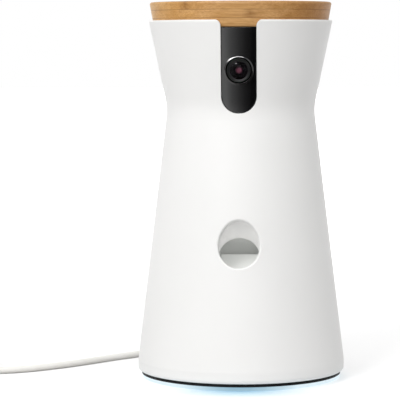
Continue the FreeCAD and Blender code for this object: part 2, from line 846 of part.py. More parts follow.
def reset_group():
    """Reset button in the underside, and the switch on its small board above it."""
    x, y = -S.reset_x, -S.reset_y
    button = Piece("reset_button")
    flange = plate_top + 0.1
    button.cylinder(S.reset_radius, flange + 1.3 - S.foot_height - 0.1, (x, y, S.foot_height + 0.1))
    button.cylinder(S.reset_radius + 1.0, 0.7, (x, y, flange))
    switch = Piece("reset_switch")
    low = flange + 1.3 + S.reset_travel + 0.1
    board = S.race_seat - 1.4
    switch.cylinder(S.reset_radius, board - low, (x, y, low))
    half = S.reset_radius + 2.0
    switch.box((x - half, y - half, board), (x + half, y + half, board + 1.0))
    for side in (-1, 1):
        post = x + side * (half - 0.8)
        switch.box((post - 0.8, y - half, plate_top), (post + 0.8, y - half + 1.2, board))


# ---------------------------------------------------------------- turning frame

def chassis():
    """Round plate that everything in the shell stands on, with posts and middle frame."""
    plate = Piece("chassis_plate")
    plate.cylinder(S.chassis_radius, S.chassis_thickness, (0, 0, chassis_low))
    plate.cylinder(bush_outer, S.chassis_thickness, (0, 0, chassis_low), cut=True)
    shaft = S.motor_shaft_radius + 0.6
    plate.cylinder(shaft, S.chassis_thickness, (-pan_distance, 0, chassis_low), cut=True)
    for x, y in boss_places():
        plate.cylinder(S.screw_radius, S.chassis_thickness, (x, y, chassis_low), cut=True)
    bush = Piece("pan_bush")
    bush.tube(bush_outer, S.axle_radius + S.running_clearance, chassis_low - 0.2, chassis_top + 0.2)
    posts = Piece("frame_posts")
    for x, y in post_places():
        posts.cylinder(S.post_radius, S.middle_frame_low - chassis_top, (x, y, chassis_top))
    frame = Piece("middle_frame")
    low = S.middle_frame_low
    frame.cylinder(S.middle_frame_radius, S.middle_frame_thickness, (0, 0, low))
    frame.cylinder(S.drop_radius + S.drop_wall, S.middle_frame_thickness, (0, drop_y, low), cut=True)
    nose = S.motor_shaft_radius + S.motor_nose + 0.1
    frame.cylinder(nose, S.middle_frame_thickness, (feed_motor_x, feed_motor_y, low), cut=True)
    screws = Piece("turret_screws")
    for x, y in post_places():
        frame.cylinder(S.screw_radius, S.middle_frame_thickness, (x, y, low), cut=True)
        screws.cylinder(S.screw_radius, S.middle_frame_thickness, (x, y, low))
        screws.cylinder(S.screw_head_radius, S.screw_head_height, (x, y, frame_top))
    for x, y in boss_places():
        screws.cylinder(S.screw_radius, S.chassis_thickness + 8.0, (x, y, chassis_low))
        head = chassis_low - S.screw_head_height
        screws.cylinder(S.screw_head_radius, S.screw_head_height, (x, y, head))


def post_places():
    """Feet of the four frame posts."""
    rear, front = (S.rear_post_x, S.rear_post_y), (S.front_post_x, -S.front_post_y)
    return [(side * x, y) for x, y in (rear, front) for side in (-1, 1)]


def boss_places():
    """Centres of the four screw bosses inside the shell."""
    reach = S.boss_circle * math.sqrt(0.5)
    return [(reach, reach), (-reach, reach), (-reach, -reach), (reach, -reach)]


def motor(name, x, y, low, shaft_up):
    """An upright geared motor, with a bore where its pinion's shaft enters."""
    piece = Piece(name)
    half, deep = S.motor_width / 2, S.motor_depth / 2
    piece.box((x - half, y - deep, low), (x + half, y + deep, as_size(low) + S.motor_length))
    depth = S.motor_bore_depth
    bore = as_size(low) + S.motor_length - depth if shaft_up else low
    piece.cylinder(S.motor_shaft_radius + 0.1, depth, (x, y, bore), cut=True)
    if shaft_up:
        piece.cylinder(S.motor_shaft_radius + S.motor_nose, S.middle_frame_thickness / 2,
                       (x, y, as_size(low) + S.motor_length))
        piece.cylinder(S.motor_shaft_radius + 0.1, S.middle_frame_thickness / 2,
                       (x, y, as_size(low) + S.motor_length), cut=True)
    return piece


def pan_drive():
    """Motor on the chassis plate whose pinion walks round the fixed gear."""
    x = -pan_distance
    low = chassis_top + S.pan_motor_pad
    piece = motor("pan_motor", x, 0, low, False)
    half, deep = S.motor_width / 2 + 2.0, S.motor_depth / 2
    piece.box((x - half, -deep, chassis_top), (x + half, deep, low))
    piece.cylinder(S.motor_shaft_radius + 0.1, S.pan_motor_pad, (x, 0, chassis_top), cut=True)
    pinion = gear_shape(PAN_PINION_TEETH, S.fixed_gear_width, None, math.pi / PAN_PINION_TEETH)
    shaft = rod(S.motor_shaft_radius, 0, low + S.shaft_entry - S.fixed_gear_low)
    shape_node("pan_pinion", pinion.fuse(shaft).removeSplitter(), (x, 0, S.fixed_gear_low))


# ---------------------------------------------------------------- shell

def outer_shell():
    """White turned shell with the window notch, the treat hole, the grille and screw bosses."""
    piece = Piece("outer_shell")
    wall = S.shell_wall
    piece.revolve([
        (S.shell_lip_radius, S.shell_bottom),
        (S.shell_foot_radius, S.shell_bottom, S.shell_corner_radius),
        (S.shell_foot_radius, S.shell_foot_top),
        (S.waist_radius, S.waist_level, S.waist_blend),
        (S.rim_radius, S.rim_level, S.rim_edge_radius),
        (S.rim_radius - wall, S.rim_level, S.rim_edge_radius),
        (S.waist_radius - wall, S.waist_level, S.waist_blend + wall),
        (S.shell_foot_radius - wall, S.shell_foot_top),
        (S.shell_lip_radius, S.shell_lip_top),
    ])
    low = chassis_top
    piece.cylinder(S.boss_radius, S.boss_height, (boss_places()[0][0], boss_places()[0][1], low)).repeat(4)
    half = S.boss_radius * 0.3
    reach = (body_radius(low + S.boss_height) + body_radius(low) - wall) / 2
    rib = Rotation(Vector(0, 0, 1), 45)
    start = S.boss_circle * math.sqrt(0.5)
    piece.box((start, start, low), (start + reach - S.boss_circle, start + half * 2, low + S.boss_height),
              rotation=rib).repeat(4)
    place = boss_places()[0]
    piece.cylinder(S.screw_radius, 10.0, (place[0], place[1], low), cut=True).repeat(4)
    half = S.notch_half_width
    notch = [
        (-half - 12.0, S.rim_level + 0.05),
        (-half, S.rim_level + 0.05, S.notch_top_radius),
        (-half, S.notch_low, S.notch_end_radius),
        (half, S.notch_low, S.notch_end_radius),
        (half, S.rim_level + 0.05, S.notch_top_radius),
        (half + 12.0, S.rim_level + 0.05),
        (half + 12.0, S.lid_top_level),
        (-half - 12.0, S.lid_top_level),
    ]
    sketch = piece.sketch("XZ_Plane", 0.0)
    outline(sketch, notch)
    piece.extrude(sketch, S.shell_foot_radius, True, False)
    piece.body.Tip.Reversed = True
    tilt = chute_rotation()
    start = chute_point(-12.0)
    piece.cylinder(S.treat_hole_radius, 30.0, start, tilt, cut=True)
    piece.round_edges(S.hole_edge_radius, on_treat_hole)
    sketch = piece.sketch("XZ_Plane", 0.0)
    for x, z in grille_places():
        circle_outline(sketch, x, z, S.grille_hole_radius)
    piece.extrude(sketch, S.shell_foot_radius, True, False)
    piece.body.Tip.Reversed = False


def on_treat_hole(point):
    """Whether a point lies on the outer edge of the treat hole."""
    outside = math.hypot(point.x, point.y) > body_radius(point.z).value - S.shell_wall.value / 2
    centre = Vector(*[as_size(number).value for number in chute_point(0)])
    reach = point.distanceToLine(centre, chute_rotation().multVec(Vector(0, 0, 1)))
    return outside and abs(reach - S.treat_hole_radius.value) < 0.05


def grille_places():
    """Centre, inner ring and outer ring of the speaker holes."""
    places = [(0, S.speaker_level)]
    for ring, count in ((1, 6), (2, 12)):
        for i in range(count):
            turn = 2 * math.pi * i / count
            reach = S.grille_pitch * ring
            places.append((reach * math.cos(turn), S.speaker_level + reach * math.sin(turn)))
    return places


def chute_rotation():
    """Turns the Z axis to point out of the treat hole, forwards and up."""
    return Rotation(Vector(1, 0, 0), 90 - S.chute_angle.value)


def chute_point(along):
    """A point of the chute's axis, measured outwards from the shell's surface."""
    turn = math.radians(S.chute_angle.value)
    y = -body_radius(S.treat_hole_level) - as_size(along) * math.cos(turn)
    return 0, y, S.treat_hole_level + as_size(along) * math.sin(turn)


# ---------------------------------------------------------------- lid

def lid():
    """Bamboo disc with the plug ring and the gasket under it."""
    disc = Piece("lid_disc")
    disc.revolve([
        (0, S.lid_bottom),
        (S.lid_bottom_radius, S.lid_bottom),
        (S.lid_rim_radius, S.rim_level),
        (S.lid_top_radius, S.lid_top_level, S.lid_edge_radius),
        (0, S.lid_top_level),
    ])
    plug = Piece("lid_plug")
    outer = S.hopper_inner - S.lid_plug_play
    centre = (0, S.hopper_offset)
    plug.tube(outer, outer - S.lid_plug_wall, S.lid_bottom - S.lid_plug_depth, S.lid_bottom, centre)
    gasket = Piece("lid_gasket")
    inner = S.hopper_inner + 1.0
    gasket.tube(inner + S.gasket_width, inner, flange_top, S.lid_bottom, centre)


# ---------------------------------------------------------------- hopper and feed

def hopper():
    """Treat hopper with its flange, its legs, the baffle over the drop hole and the drop tube."""
    piece = Piece("hopper")
    centre = (0, S.hopper_offset)
    low, floor = S.hopper_low, hopper_floor_top
    piece.cylinder(hopper_outer, S.hopper_floor, (0, S.hopper_offset, low))
    top = flange_top
    piece.tube(hopper_outer, S.hopper_inner, floor, top, centre)
    thick = S.hopper_flange_thickness
    piece.cylinder(S.hopper_flange_radius, thick, (0, 0, top - thick))
    piece.cylinder(S.hopper_inner, thick + 1.0, (0, S.hopper_offset, top - thick), cut=True)
    piece.cylinder(S.drop_radius, S.hopper_floor, (0, drop_y, low), cut=True)
    shaft = S.wheel_shaft_radius + S.running_clearance
    piece.cylinder(shaft, S.hopper_floor, (0, S.hopper_offset, low), cut=True)
    legs = Piece("hopper_legs")
    for angle in (0, 90, 180):
        x = S.hopper_leg_circle * round(math.cos(math.radians(angle)))
        y = S.hopper_offset + S.hopper_leg_circle * round(math.sin(math.radians(angle)))
        legs.cylinder(S.hopper_leg_radius, low - frame_top, (x, y, frame_top))
    baffle = Piece("hopper_baffle")
    level = floor + WHEEL_LIFT + S.wheel_height + S.baffle_gap
    sketch = baffle.sketch("XY_Plane", level)
    baffle_outline(sketch, S.hopper_inner, drop_y + S.pocket_radius + 1.0)
    baffle.extrude(sketch, S.baffle_thickness, False, False)
    tube = Piece("drop_tube")
    tube.tube(S.drop_radius + S.drop_wall, S.drop_radius, S.chamber_top + S.chamber_wall, low, (0, drop_y))


def baffle_outline(sketch, radius, edge):
    """The part of the hopper's circle that lies in front of a straight edge."""
    centre = S.hopper_offset.value
    rise = edge.value - centre
    half = math.sqrt(radius.value ** 2 - rise ** 2)
    angle = math.atan2(rise, half)
    circle = Part.Circle(Vector(0, centre, 0), Vector(0, 0, 1), radius.value)
    arc = sketch.addGeometry(Part.ArcOfCircle(circle, math.pi - angle, 2 * math.pi + angle), False)
    start, end = Vector(-half, edge.value, 0), Vector(half, edge.value, 0)
    line = sketch.addGeometry(Part.LineSegment(end, start), False)
    sketch.addConstraint(Sketcher.Constraint("Coincident", arc, 2, line, 1))
    sketch.addConstraint(Sketcher.Constraint("Coincident", line, 2, arc, 1))
    sketch.addConstraint(Sketcher.Constraint("Horizontal", line))
    bound = (("DistanceX", arc, 3, as_size(0)), ("DistanceY", arc, 3, S.hopper_offset),
             ("DistanceY", line, 1, edge))
    for kind, geometry, point, number in bound:
        constraint = Sketcher.Constraint(kind, -1, 1, geometry, point, number.value)
        sketch.setExpression(f"Constraints[{sketch.addConstraint(constraint)}]", number.text)
    size = sketch.addConstraint(Sketcher.Constraint("Radius", arc, radius.value))
    sketch.setExpression(f"Constraints[{size}]", radius.text)


def feed():
    """Pocketed feed wheel with its shaft and gear, the pinion beside it and the motor."""
    wheel = Piece("feed_wheel")
    low = hopper_floor_top + WHEEL_LIFT
    y = S.hopper_offset
    wheel.cylinder(S.hopper_inner - S.wheel_play, S.wheel_height, (0, y, low))
    for i in range(FEED_POCKETS):
        turn = 2 * math.pi * i / FEED_POCKETS
        place = (S.pocket_circle * math.cos(turn), y + S.pocket_circle * math.sin(turn), low)
        wheel.cylinder(S.pocket_radius, S.wheel_height, place, cut=True)
    wheel.cone(8.0, 3.0, 8.0, (0, y, low + S.wheel_height))
    gear_low = frame_top + S.feed_gear_lift
    wheel.cylinder(S.wheel_shaft_radius, low - gear_low, (0, y, gear_low))
    facing = math.radians(45)
    gear = gear_shape(FEED_TEETH, S.feed_gear_width, S.wheel_shaft_radius, facing)
    shape_node("feed_gear", gear, (0, y, gear_low))
    opposite = facing + math.pi + math.pi / FEED_PINION_TEETH
    pinion = gear_shape(FEED_PINION_TEETH, S.feed_gear_width, None, opposite)
    shaft = rod(S.motor_shaft_radius, -S.feed_gear_lift - S.middle_frame_thickness - S.shaft_entry, 0)
    place = (feed_motor_x, feed_motor_y, gear_low)
    shape_node("feed_pinion", pinion.fuse(shaft).removeSplitter(), place)
    motor("feed_motor", feed_motor_x, feed_motor_y, S.middle_frame_low - S.motor_length, True)


# ---------------------------------------------------------------- launcher

def launcher_housing():
    """Open chamber that treats drop into, on three legs, with the launch motor's cradle."""
    piece = Piece("launcher_housing")
    wall = S.chamber_wall
    half, front, back = S.chamber_half_width, S.chamber_front, S.chamber_back
    low, top = S.chamber_floor, S.chamber_top
    piece.box((-half - wall, -front - wall, low - wall), (half + wall, -back + wall, top + wall))
    for x, y in ((-half, -front), (half, -front), (-half, -back - 4.0), (half, -back - 14.0)):
        piece.box((x - wall, y - wall, chassis_top), (x + wall, y + wall, low - wall))
    motor_low, motor_high = S.launch_motor_z - S.motor_depth / 2, S.launch_motor_z + S.motor_depth / 2
    near, far = -S.launch_motor_y - S.motor_width / 2, -S.launch_motor_y + S.motor_width / 2
    piece.box((-4.0, near - wall, motor_low - wall), (10.0, far + wall, low - wall))
    piece.box((-4.0, near, motor_low), (10.0, far, motor_high), cut=True)
    piece.box((-half, -front, low), (half, -back, top), cut=True)
    piece.cylinder(S.drop_radius, wall, (0, drop_y, top), cut=True)
    piece.cylinder(S.chute_outer + 0.1, 46.0, chute_point(-36.0), chute_rotation(), cut=True)
    for x in (-half - wall, half):
        bush = S.kicker_bush_radius
        piece.cylinder(bush, wall, (x, -S.kicker_y, S.kicker_z), "x", cut=True)
    piece.cylinder(S.motor_shaft_radius + S.running_clearance, wall,
                   (half, -S.winding_y, S.winding_z), "x", cut=True)
    length = S.gear_bracket_x - half - wall
    for y, z in STANDOFFS:
        piece.cylinder(2.5, length, (half + wall, y, z), "x")


STANDOFFS = ((-5.5, 78.0), (-29.0, 79.5))


def treat_chute():
    """Slanted tube from the launcher's chamber to the treat hole, with a shorter upper half."""
    piece = Piece("treat_chute")
    piece.cylinder(S.chute_outer, 44.0, chute_point(-36.0), chute_rotation())
    piece.cylinder(S.chute_inner, 44.0, chute_point(-36.0), chute_rotation(), cut=True)
    inside = S.chamber_front
    piece.box((-30.0, -inside, 0), (30.0, inside, S.waist_level), cut=True)
    x, y, z = chute_point(-36.0)
    high = (30.0, y + 30.0, z + 36.0 - S.chute_roof)
    piece.box((-30.0, y, z), high, cut=True, rotation=chute_rotation())
    low, top = S.treat_hole_level - 30.0, S.treat_hole_level + 30.0
    inset = S.shell_wall
    piece.revolve([
        (body_radius(low) - inset, low),
        (body_radius(low) + 40.0, low),
        (body_radius(low) + 40.0, top),
        (body_radius(top) - inset, top),
    ], cut=True)


def kicker():
    """Sprung plate that throws the treat: barrel, shaft, gear, bushes and torsion spring."""
    lean = Rotation(Vector(1, 0, 0), -S.chute_angle.value)
    y, z = -S.kicker_y, S.kicker_z
    half = S.kicker_half_width
    plate = Piece("kicker_plate")
    plate.cylinder(S.kicker_barrel, half * 2, (-half, y, z), "x")
    thick = S.kicker_thickness / 2
    turn = math.radians(S.chute_angle.value)
    low = (-half, y - thick * math.cos(turn), z + thick * math.sin(turn))
    high = (half, low[1] + S.kicker_thickness, low[2] + S.kicker_length)
    plate.box(low, high, rotation=lean)
    shaft = S.motor_shaft_radius
    plate.cylinder(shaft, half * 2, (-half, y, z), "x", cut=True)
    rod_piece = Piece("kicker_shaft")
    reach = S.chamber_half_width + S.chamber_wall
    start = -reach - 5.0
    rod_piece.cylinder(shaft, S.gear_bracket_x + S.gear_bracket_thickness - start, (start, y, z), "x")
    bushes = Piece("kicker_bushes")
    wall = S.chamber_wall
    for x in (-reach, reach - wall):
        bushes.cylinder(S.kicker_bush_radius, wall, (x, y, z), "x")
        bushes.cylinder(shaft + S.running_clearance, wall, (x, y, z), "x", cut=True)
    facing = math.atan2(S.winding_z.value - S.kicker_z.value, S.kicker_y.value - S.winding_y.value)
    gear = gear_shape(KICKER_TEETH, S.kicker_gear_width, shaft, facing)
    shape_node("kicker_gear", along_x(gear, S.kicker_gear_x), (0, y, z))
    spring = Piece("kicker_spring")
    for turn in range(SPRING_TURNS):
        spring.torus(S.spring_radius, S.spring_wire, (-reach - S.spring_pitch * (turn + 0.6), y, z), "x")
    return facing


def winding(facing):
    """Gears that pull the kicker back, the motor that drives them and their outer bracket."""
    y, z = -S.winding_y, S.winding_z
    motor_y, motor_z = -S.launch_motor_y, S.launch_motor_z
    toward_motor = math.atan2(motor_z.value - z.value, motor_y.value - y.value)
    pinion_tooth = facing + math.pi + math.pi / WINDING_PINION_TEETH
    pinion = gear_shape(WINDING_PINION_TEETH, S.kicker_gear_width, None, pinion_tooth)
    pinion = along_x(pinion, S.kicker_gear_x)
    wheel = gear_shape(WINDING_TEETH, S.winding_gear_width, None, toward_motor)
    wheel = along_x(wheel, S.winding_gear_x)
    start = S.chamber_half_width + 0.4
    end = S.gear_bracket_x + S.gear_bracket_thickness
    shaft = along_x(rod(S.motor_shaft_radius, 0, end - start), start)
    step = S.kicker_gear_x + S.kicker_gear_width
    collar = along_x(rod(S.motor_shaft_radius + 1.5, 0, S.winding_gear_x - step), step)
    shape = pinion.fuse([wheel, shaft, collar]).removeSplitter()
    shape_node("winding_gear", shape, (0, y, z))
    tooth = toward_motor + math.pi + math.pi / LAUNCH_PINION_TEETH
    drive = gear_shape(LAUNCH_PINION_TEETH, S.winding_gear_width, None, tooth)
    drive = along_x(drive, S.winding_gear_x)
    motor_end = S.motor_length - 6.0
    inner_end = motor_end - S.shaft_entry
    drive_shaft = along_x(rod(S.motor_shaft_radius, 0, S.winding_gear_x - inner_end), inner_end)
    shape_node("launch_pinion", drive.fuse(drive_shaft).removeSplitter(), (0, motor_y, motor_z))
    half, deep = S.motor_width / 2, S.motor_depth / 2
    body = Piece("launch_motor")
    body.box((-6.0, motor_y - half, motor_z - deep), (motor_end, motor_y + half, motor_z + deep))
    depth = S.motor_bore_depth
    bore = (motor_end - depth, motor_y, motor_z)
    body.cylinder(S.motor_shaft_radius + 0.1, depth, bore, "x", cut=True)
    bracket = Piece("gear_bracket")
    start = S.gear_bracket_x
    thick = S.gear_bracket_thickness
    bracket.box((start, -S.kicker_y - 5.0, S.winding_z - 8.0), (start + thick, 0.0, STANDOFFS[1][1] + 3.5))
    hole = S.motor_shaft_radius + S.running_clearance
    for hole_y, hole_z in ((y, z), (-S.kicker_y, S.kicker_z)):
        bracket.cylinder(hole, thick, (start, hole_y, hole_z), "x", cut=True)


# ---------------------------------------------------------------- camera

def cone_radius(level):
    """Outer radius of the shell on either cone."""
    level = as_size(level)
    return body_radius(level) if level.value < S.waist_level.value else shell_radius(level)


def window_outline(half, low, rounding):
    """U shape of the window, seen from the front."""
    return [(-half, S.window_top), (-half, low, rounding), (half, low, rounding), (half, S.window_top)]


def band_shape(inset, thickness, half, low, rounding):
    """Solid piece of a turned band inside the U outline, as one document object."""
    level = [S.waist_level - 30.0, S.waist_level, S.rim_level + 10.0]
    outer = [(cone_radius(z) - inset, z) for z in level]
    inner = [(cone_radius(z) - inset - thickness, z) for z in reversed(level)]
    outer[1] = outer[1] + (S.waist_blend + inset,)
    inner[1] = inner[1] + (S.waist_blend + inset + thickness,)
    turned = doc.addObject("Part::Revolution", "window_band")
    turned.Source = upright_sketch("window_profile", outer + inner)
    turned.Axis = Vector(0, 0, 1)
    turned.Angle = 360
    turned.Solid = True
    prism = doc.addObject("Part::Extrusion", "window_prism")
    prism.Base = upright_sketch("window_outline", window_outline(half, low, rounding))
    prism.DirMode = "Custom"
    prism.Dir = Vector(0, -1, 0)
    prism.Solid = True
    bind(prism, "LengthFwd", S.shell_foot_radius)
    common = doc.addObject("Part::Common", "window_part")
    common.Base = turned
    common.Tool = prism
    return common


def upright_sketch(name, corners):
    """A sketch in the XZ plane, outside any body."""
    sketch = doc.addObject("Sketcher::SketchObject", name)
    sketch.Placement = Placement(Vector(0, 0, 0), Rotation(Vector(1, 0, 0), 90))
    outline(sketch, corners)
    return sketch


def window_panel():
    """Glossy curved window in the notch, with a flange behind the shell and the bezel's hole."""
    play = S.window_play
    half, low, rounding = S.notch_half_width - play, S.notch_low + play, S.notch_end_radius - play
    front = band_shape(S.window_inset, S.window_front_thickness, half, low, rounding)
    wide = S.window_flange_width
    depth = S.window_inset + S.window_front_thickness - S.window_flange_thickness
    flange = band_shape(depth, S.window_flange_thickness, half + wide, low - wide, rounding + wide)
    both = doc.addObject("Part::Fuse", "window_both")
    both.Base = front
    both.Tool = flange
    hole = doc.addObject("Part::Cylinder", "window_hole")
    bind(hole, "Radius", S.bezel_radius)
    bind(hole, "Height", S.shell_foot_radius)
    hole.Placement = Placement(Vector(0, 0, 0), Rotation(Vector(1, 0, 0), 90))
    bind(hole, "Placement.Base.z", S.lens_level)
    panel = doc.addObject("Part::Cut", "window_panel")
    panel.Base = both
    panel.Tool = hole
    panel.Label = "window_panel"
    NODES.append(panel)


def camera():
    """Lens bezel, barrel and glass, camera board with its lamps and microphone, and bracket."""
    level = S.lens_level
    bezel = Piece("lens_bezel")
    back = -S.bezel_front + S.bezel_depth
    front = Rotation(Vector(1, 0, 0), 90)
    bezel.cylinder(S.bezel_radius, S.bezel_depth, (0, back, level), front)
    bezel.cylinder(S.bezel_bore, S.bezel_depth, (0, back, level), front, cut=True)
    barrel = Piece("lens_barrel")
    board = -S.barrel_front + S.barrel_depth
    barrel.cylinder(S.barrel_radius, S.barrel_depth, (0, board, level), front)
    seat = S.glass_front - S.glass_thickness
    barrel.cylinder(S.barrel_bore, S.barrel_front - seat, (0, -seat, level), front, cut=True)
    glass = Piece("lens_glass")
    glass.cylinder(S.glass_radius, S.glass_thickness, (0, -seat, level), front)
    circuit = Piece("camera_board")
    half, tall = S.camera_board_half_width, S.camera_board_half_height
    circuit.box((-half, board, level - tall), (half, board + S.camera_board_thickness, level + tall))
    spread = S.infrared_spread
    rise = S.infrared_rise
    for x, z in ((-spread, -rise), (spread, -rise), (-spread, rise), (spread, rise)):
        circuit.cylinder(S.infrared_radius, S.infrared_height, (x, board, level + z), front)
    side = S.microphone_half_width
    middle = level - S.microphone_drop
    circuit.box((-side, board - S.microphone_height, middle - side), (side, board, middle + side))
    holder = Piece("camera_bracket")
    back = -(hopper_outer - S.hopper_offset) - 0.3
    plate = S.bracket_plate
    half = S.bracket_half_width
    holder.box((-half, back - plate, frame_top), (half, back, S.bracket_high))
    depth = S.window_inset + S.window_front_thickness + 1.2
    low_front = -(shell_radius(S.bracket_low + 4.0) - depth - 1.4)
    high_front = -(shell_radius(S.bracket_high) - depth - 1.4)
    corners = [(back - plate, S.bracket_low), (low_front, S.bracket_low + 4.0),
               (high_front, S.bracket_high), (back - plate, S.bracket_high)]
    for side in (-half, half - plate):
        holder.prism("YZ_Plane", corners, side, plate)
    rest = board + S.camera_board_thickness
    holder.box((-half, rest, level - 4.0), (half, back - plate, level + 4.0))


# ---------------------------------------------------------------- rear carrier, boards, speaker

def rear_group():
    """Upright carrier behind the launcher with the main board and the speaker."""
    carrier = Piece("rear_carrier")
    half = S.carrier_half_width
    carrier.box((-half, carrier_front, chassis_top), (half, carrier_back, S.middle_frame_low))
    board_y = carrier_back + S.board_standoff
    wide = S.main_board_half_width
    low, high = S.main_board_low, S.main_board_high
    for x in (-wide + 3.0, wide - 3.0):
        for z in (low + 3.0, high - 3.0):
            carrier.cylinder(2.0, S.board_standoff, (x, carrier_back, z), "y")
    board = Piece("main_board")
    board.box((-wide, board_y, low), (wide, board_y + S.main_board_thickness, high))
    surface = board_y + S.main_board_thickness
    for x, z, width, height, thick in CHIPS:
        board.box((x, surface, low + z), (x + width, surface + thick, low + z + height))
    speaker = Piece("speaker")
    magnet = S.speaker_radius * 0.55
    depth = S.speaker_depth
    level = S.speaker_level
    speaker.cylinder(magnet, depth * 0.45, (0, carrier_back, level), "y")
    basket = carrier_back + depth * 0.45
    speaker.cone(magnet, S.speaker_radius - 1.5, depth * 0.4, (0, basket, level), "y")
    speaker.cylinder(S.speaker_radius, depth * 0.15, (0, basket + depth * 0.4, level), "y")


CHIPS = (
    (-14.0, 26.0, 13.0, 13.0, 1.4),
    (3.0, 28.0, 9.0, 9.0, 1.2),
    (-10.0, 10.0, 8.0, 6.0, 1.0),
    (4.0, 6.0, 10.0, 10.0, 2.8),
)


# ---------------------------------------------------------------- cord

def cord_wire():
    """Straight runs joined by tangent arcs, as large as their two runs allow."""
    points = [Vector(*p) for p in CORD_POINTS]
    edges = []
    start = points[0]
    for i in range(1, len(points) - 1):
        into = points[i] - points[i - 1]
        out = points[i + 1] - points[i]
        turn = into.getAngle(out)
        reach = 0.45 * min(into.Length, out.Length)
        print(f"cord point {i}: turn {math.degrees(turn):.1f}, radius {reach / math.tan(turn / 2):.1f}")
        before = points[i] - into.normalize() * reach
        after = points[i] + out.normalize() * reach
        half_back = (before + after) / 2 - points[i]
        bulge = reach / math.tan(turn / 2) * (1 / math.cos(turn / 2) - 1)
        middle = points[i] + half_back.normalize() * bulge
        edges.append(Part.LineSegment(start, before).toShape())
        edges.append(Part.Arc(before, middle, after).toShape())
        start = after
    edges.append(Part.LineSegment(start, points[-1]).toShape())
    return Part.Wire(edges)


def cord():
    """Cord tube, coil with its tie, and a plug at each end."""
    wire = cord_wire()
    radius = S.cord_radius.value
    section = Part.Wire(Part.makeCircle(radius, Vector(*CORD_POINTS[0]), Vector(0, 1, 0)))
    tube = wire.makePipeShell([section], True, False)
    print(f"cord tube length {wire.Length:.1f}, volume {tube.Volume:.1f}, "
          f"section times length {math.pi * radius ** 2 * wire.Length:.1f}")
    shape_node("cord_tube", tube)
    base_plug()
    coil_group()


def base_plug():
    """Plug in the base recess, with a strain relief that flattens into the cord channel."""
    plug = Piece("plug_device")
    half, tall = S.plug_width / 2, S.plug_height / 2
    start = S.recess_front + 0.2
    end = S.recess_back - 2.5
    level = S.plug_level
    plug.box((-half, start, level - tall), (half, end, level + tall))
    tongue = S.socket_width / 2 - 0.4
    thin = S.socket_height / 2 - 0.4
    plug.box((-tongue, S.recess_front - S.socket_length + 1.2, level - thin), (tongue, start, level + thin))
    radius = S.cord_radius.value
    cord_y, cord_z = CORD_POINTS[0][1:]
    thick_end = ellipse_wire(3.4, 2.3, end.value, level.value)
    thin_end = ellipse_wire(radius + 0.15, radius, cord_y, cord_z)
    shape_node("plug_relief", Part.makeLoft([thick_end, thin_end], True))


def ellipse_wire(wide, tall, y, z):
    """An upright ellipse across the Y axis."""
    centre = Vector(0, y, z)
    ellipse = Part.Ellipse(centre + Vector(wide, 0, 0), centre + Vector(0, 0, tall), centre)
    return Part.Wire(ellipse.toShape())


def coil_group():
    """Coil of the cord's spare length, the tie round it and the supply plug beside it."""
    end, before = Vector(*CORD_POINTS[-1]), Vector(*CORD_POINTS[-2])
    run = end - before
    run.z = 0
    run.normalize()
    side = Vector(run.y, -run.x, 0)
    mid = S.coil_mid_radius
    x, y = end.x + mid * side.x, end.y + mid * side.y
    outer = mid + S.cord_radius
    low, high = S.coil_low, S.coil_low + S.coil_height
    coil = Piece("cord_coil")
    coil.tube(outer, S.coil_inner, low, high, (x, y))
    half = S.cord_radius + 0.1
    entry = Rotation(Vector(0, 0, 1), math.degrees(math.atan2(-run.y, -run.x)))
    corner = (end.x - half * side.x, end.y - half * side.y, 0)
    coil.box(corner, (corner[0] + outer, corner[1] + half * 2, S.coil_low + S.cord_radius * 2), cut=True,
             rotation=entry)
    tie = Piece("cord_tie")
    thick = S.tie_thickness
    inner, wide = S.coil_inner - 0.35, outer + 0.1
    width = S.tie_width / 2
    top = high + 0.1
    tie.box((x - width, y + inner - thick, 0), (x + width, y + wide + thick, top + thick))
    tie.box((x - width, y + inner, thick), (x + width, y + wide, top), cut=True)
    supply_plug(x - outer - half, y)


def supply_plug(x, y):
    """Loose end of the cord beside the coil, with its strain relief and the supply plug."""
    plug = Piece("plug_supply")
    level = S.coil_low + S.cord_radius
    plug.cylinder(S.cord_radius, S.tail_length, (x, y, level), "y")
    start = y + S.tail_length
    plug.cylinder(S.cord_radius + 0.5, S.supply_relief_length, (x, start, level), "y")
    grip = start + S.supply_relief_length
    shell = grip + S.supply_grip_length
    end = shell + S.supply_shell_length
    half = S.supply_grip_width / 2
    plug.box((x - half, grip, 0), (x + half, shell, S.supply_grip_height))
    half = S.supply_shell_width / 2
    middle = S.supply_grip_height / 2
    tall = S.supply_shell_height / 2
    wall = S.supply_shell_wall
    plug.box((x - half, shell, middle - tall), (x + half, end, middle + tall))
    plug.box((x - half + wall, shell + 3.0, middle), (x + half - wall, end, middle + tall - wall), cut=True)


# ---------------------------------------------------------------- build and export

def check_document():
    """Stop if any object failed or any sub-part has no good solid."""
    failed = [f"{o.Name}: {o.State}" for o in doc.Objects if {"Invalid", "Error"} & set(o.State)]
    for node in NODES:
        shape = node.Shape
        if shape.isNull() or not shape.isValid() or not shape.Solids:
            failed.append(f"{node.Label}: no valid solid")
    if failed:
        raise RuntimeError("; ".join(failed))


def build():
    """Make every sub-part."""
    base_plate()
    floor_rings()
    lamps()
    power_socket()
    pan_axle()
    bearing()
    reset_group()
    chassis()
    pan_drive()
    outer_shell()
    lid()
    hopper()
    feed()
    launcher_housing()
    treat_chute()
    facing = kicker()
    winding(facing)
    window_panel()
    camera()
    rear_group()
    cord()


build()
doc.recompute()
check_document()
os.makedirs("parts", exist_ok=True)
for node in NODES:
    node.Shape.exportStep(f"parts/{node.Label}.step")
    print(f"{node.Label}: {len(node.Shape.Solids)} solids, {node.Shape.Volume:.0f} mm3")
print(len(NODES), "nodes")
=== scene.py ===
import json
import math

import bmesh
import bpy
from mathutils import Matrix, Vector


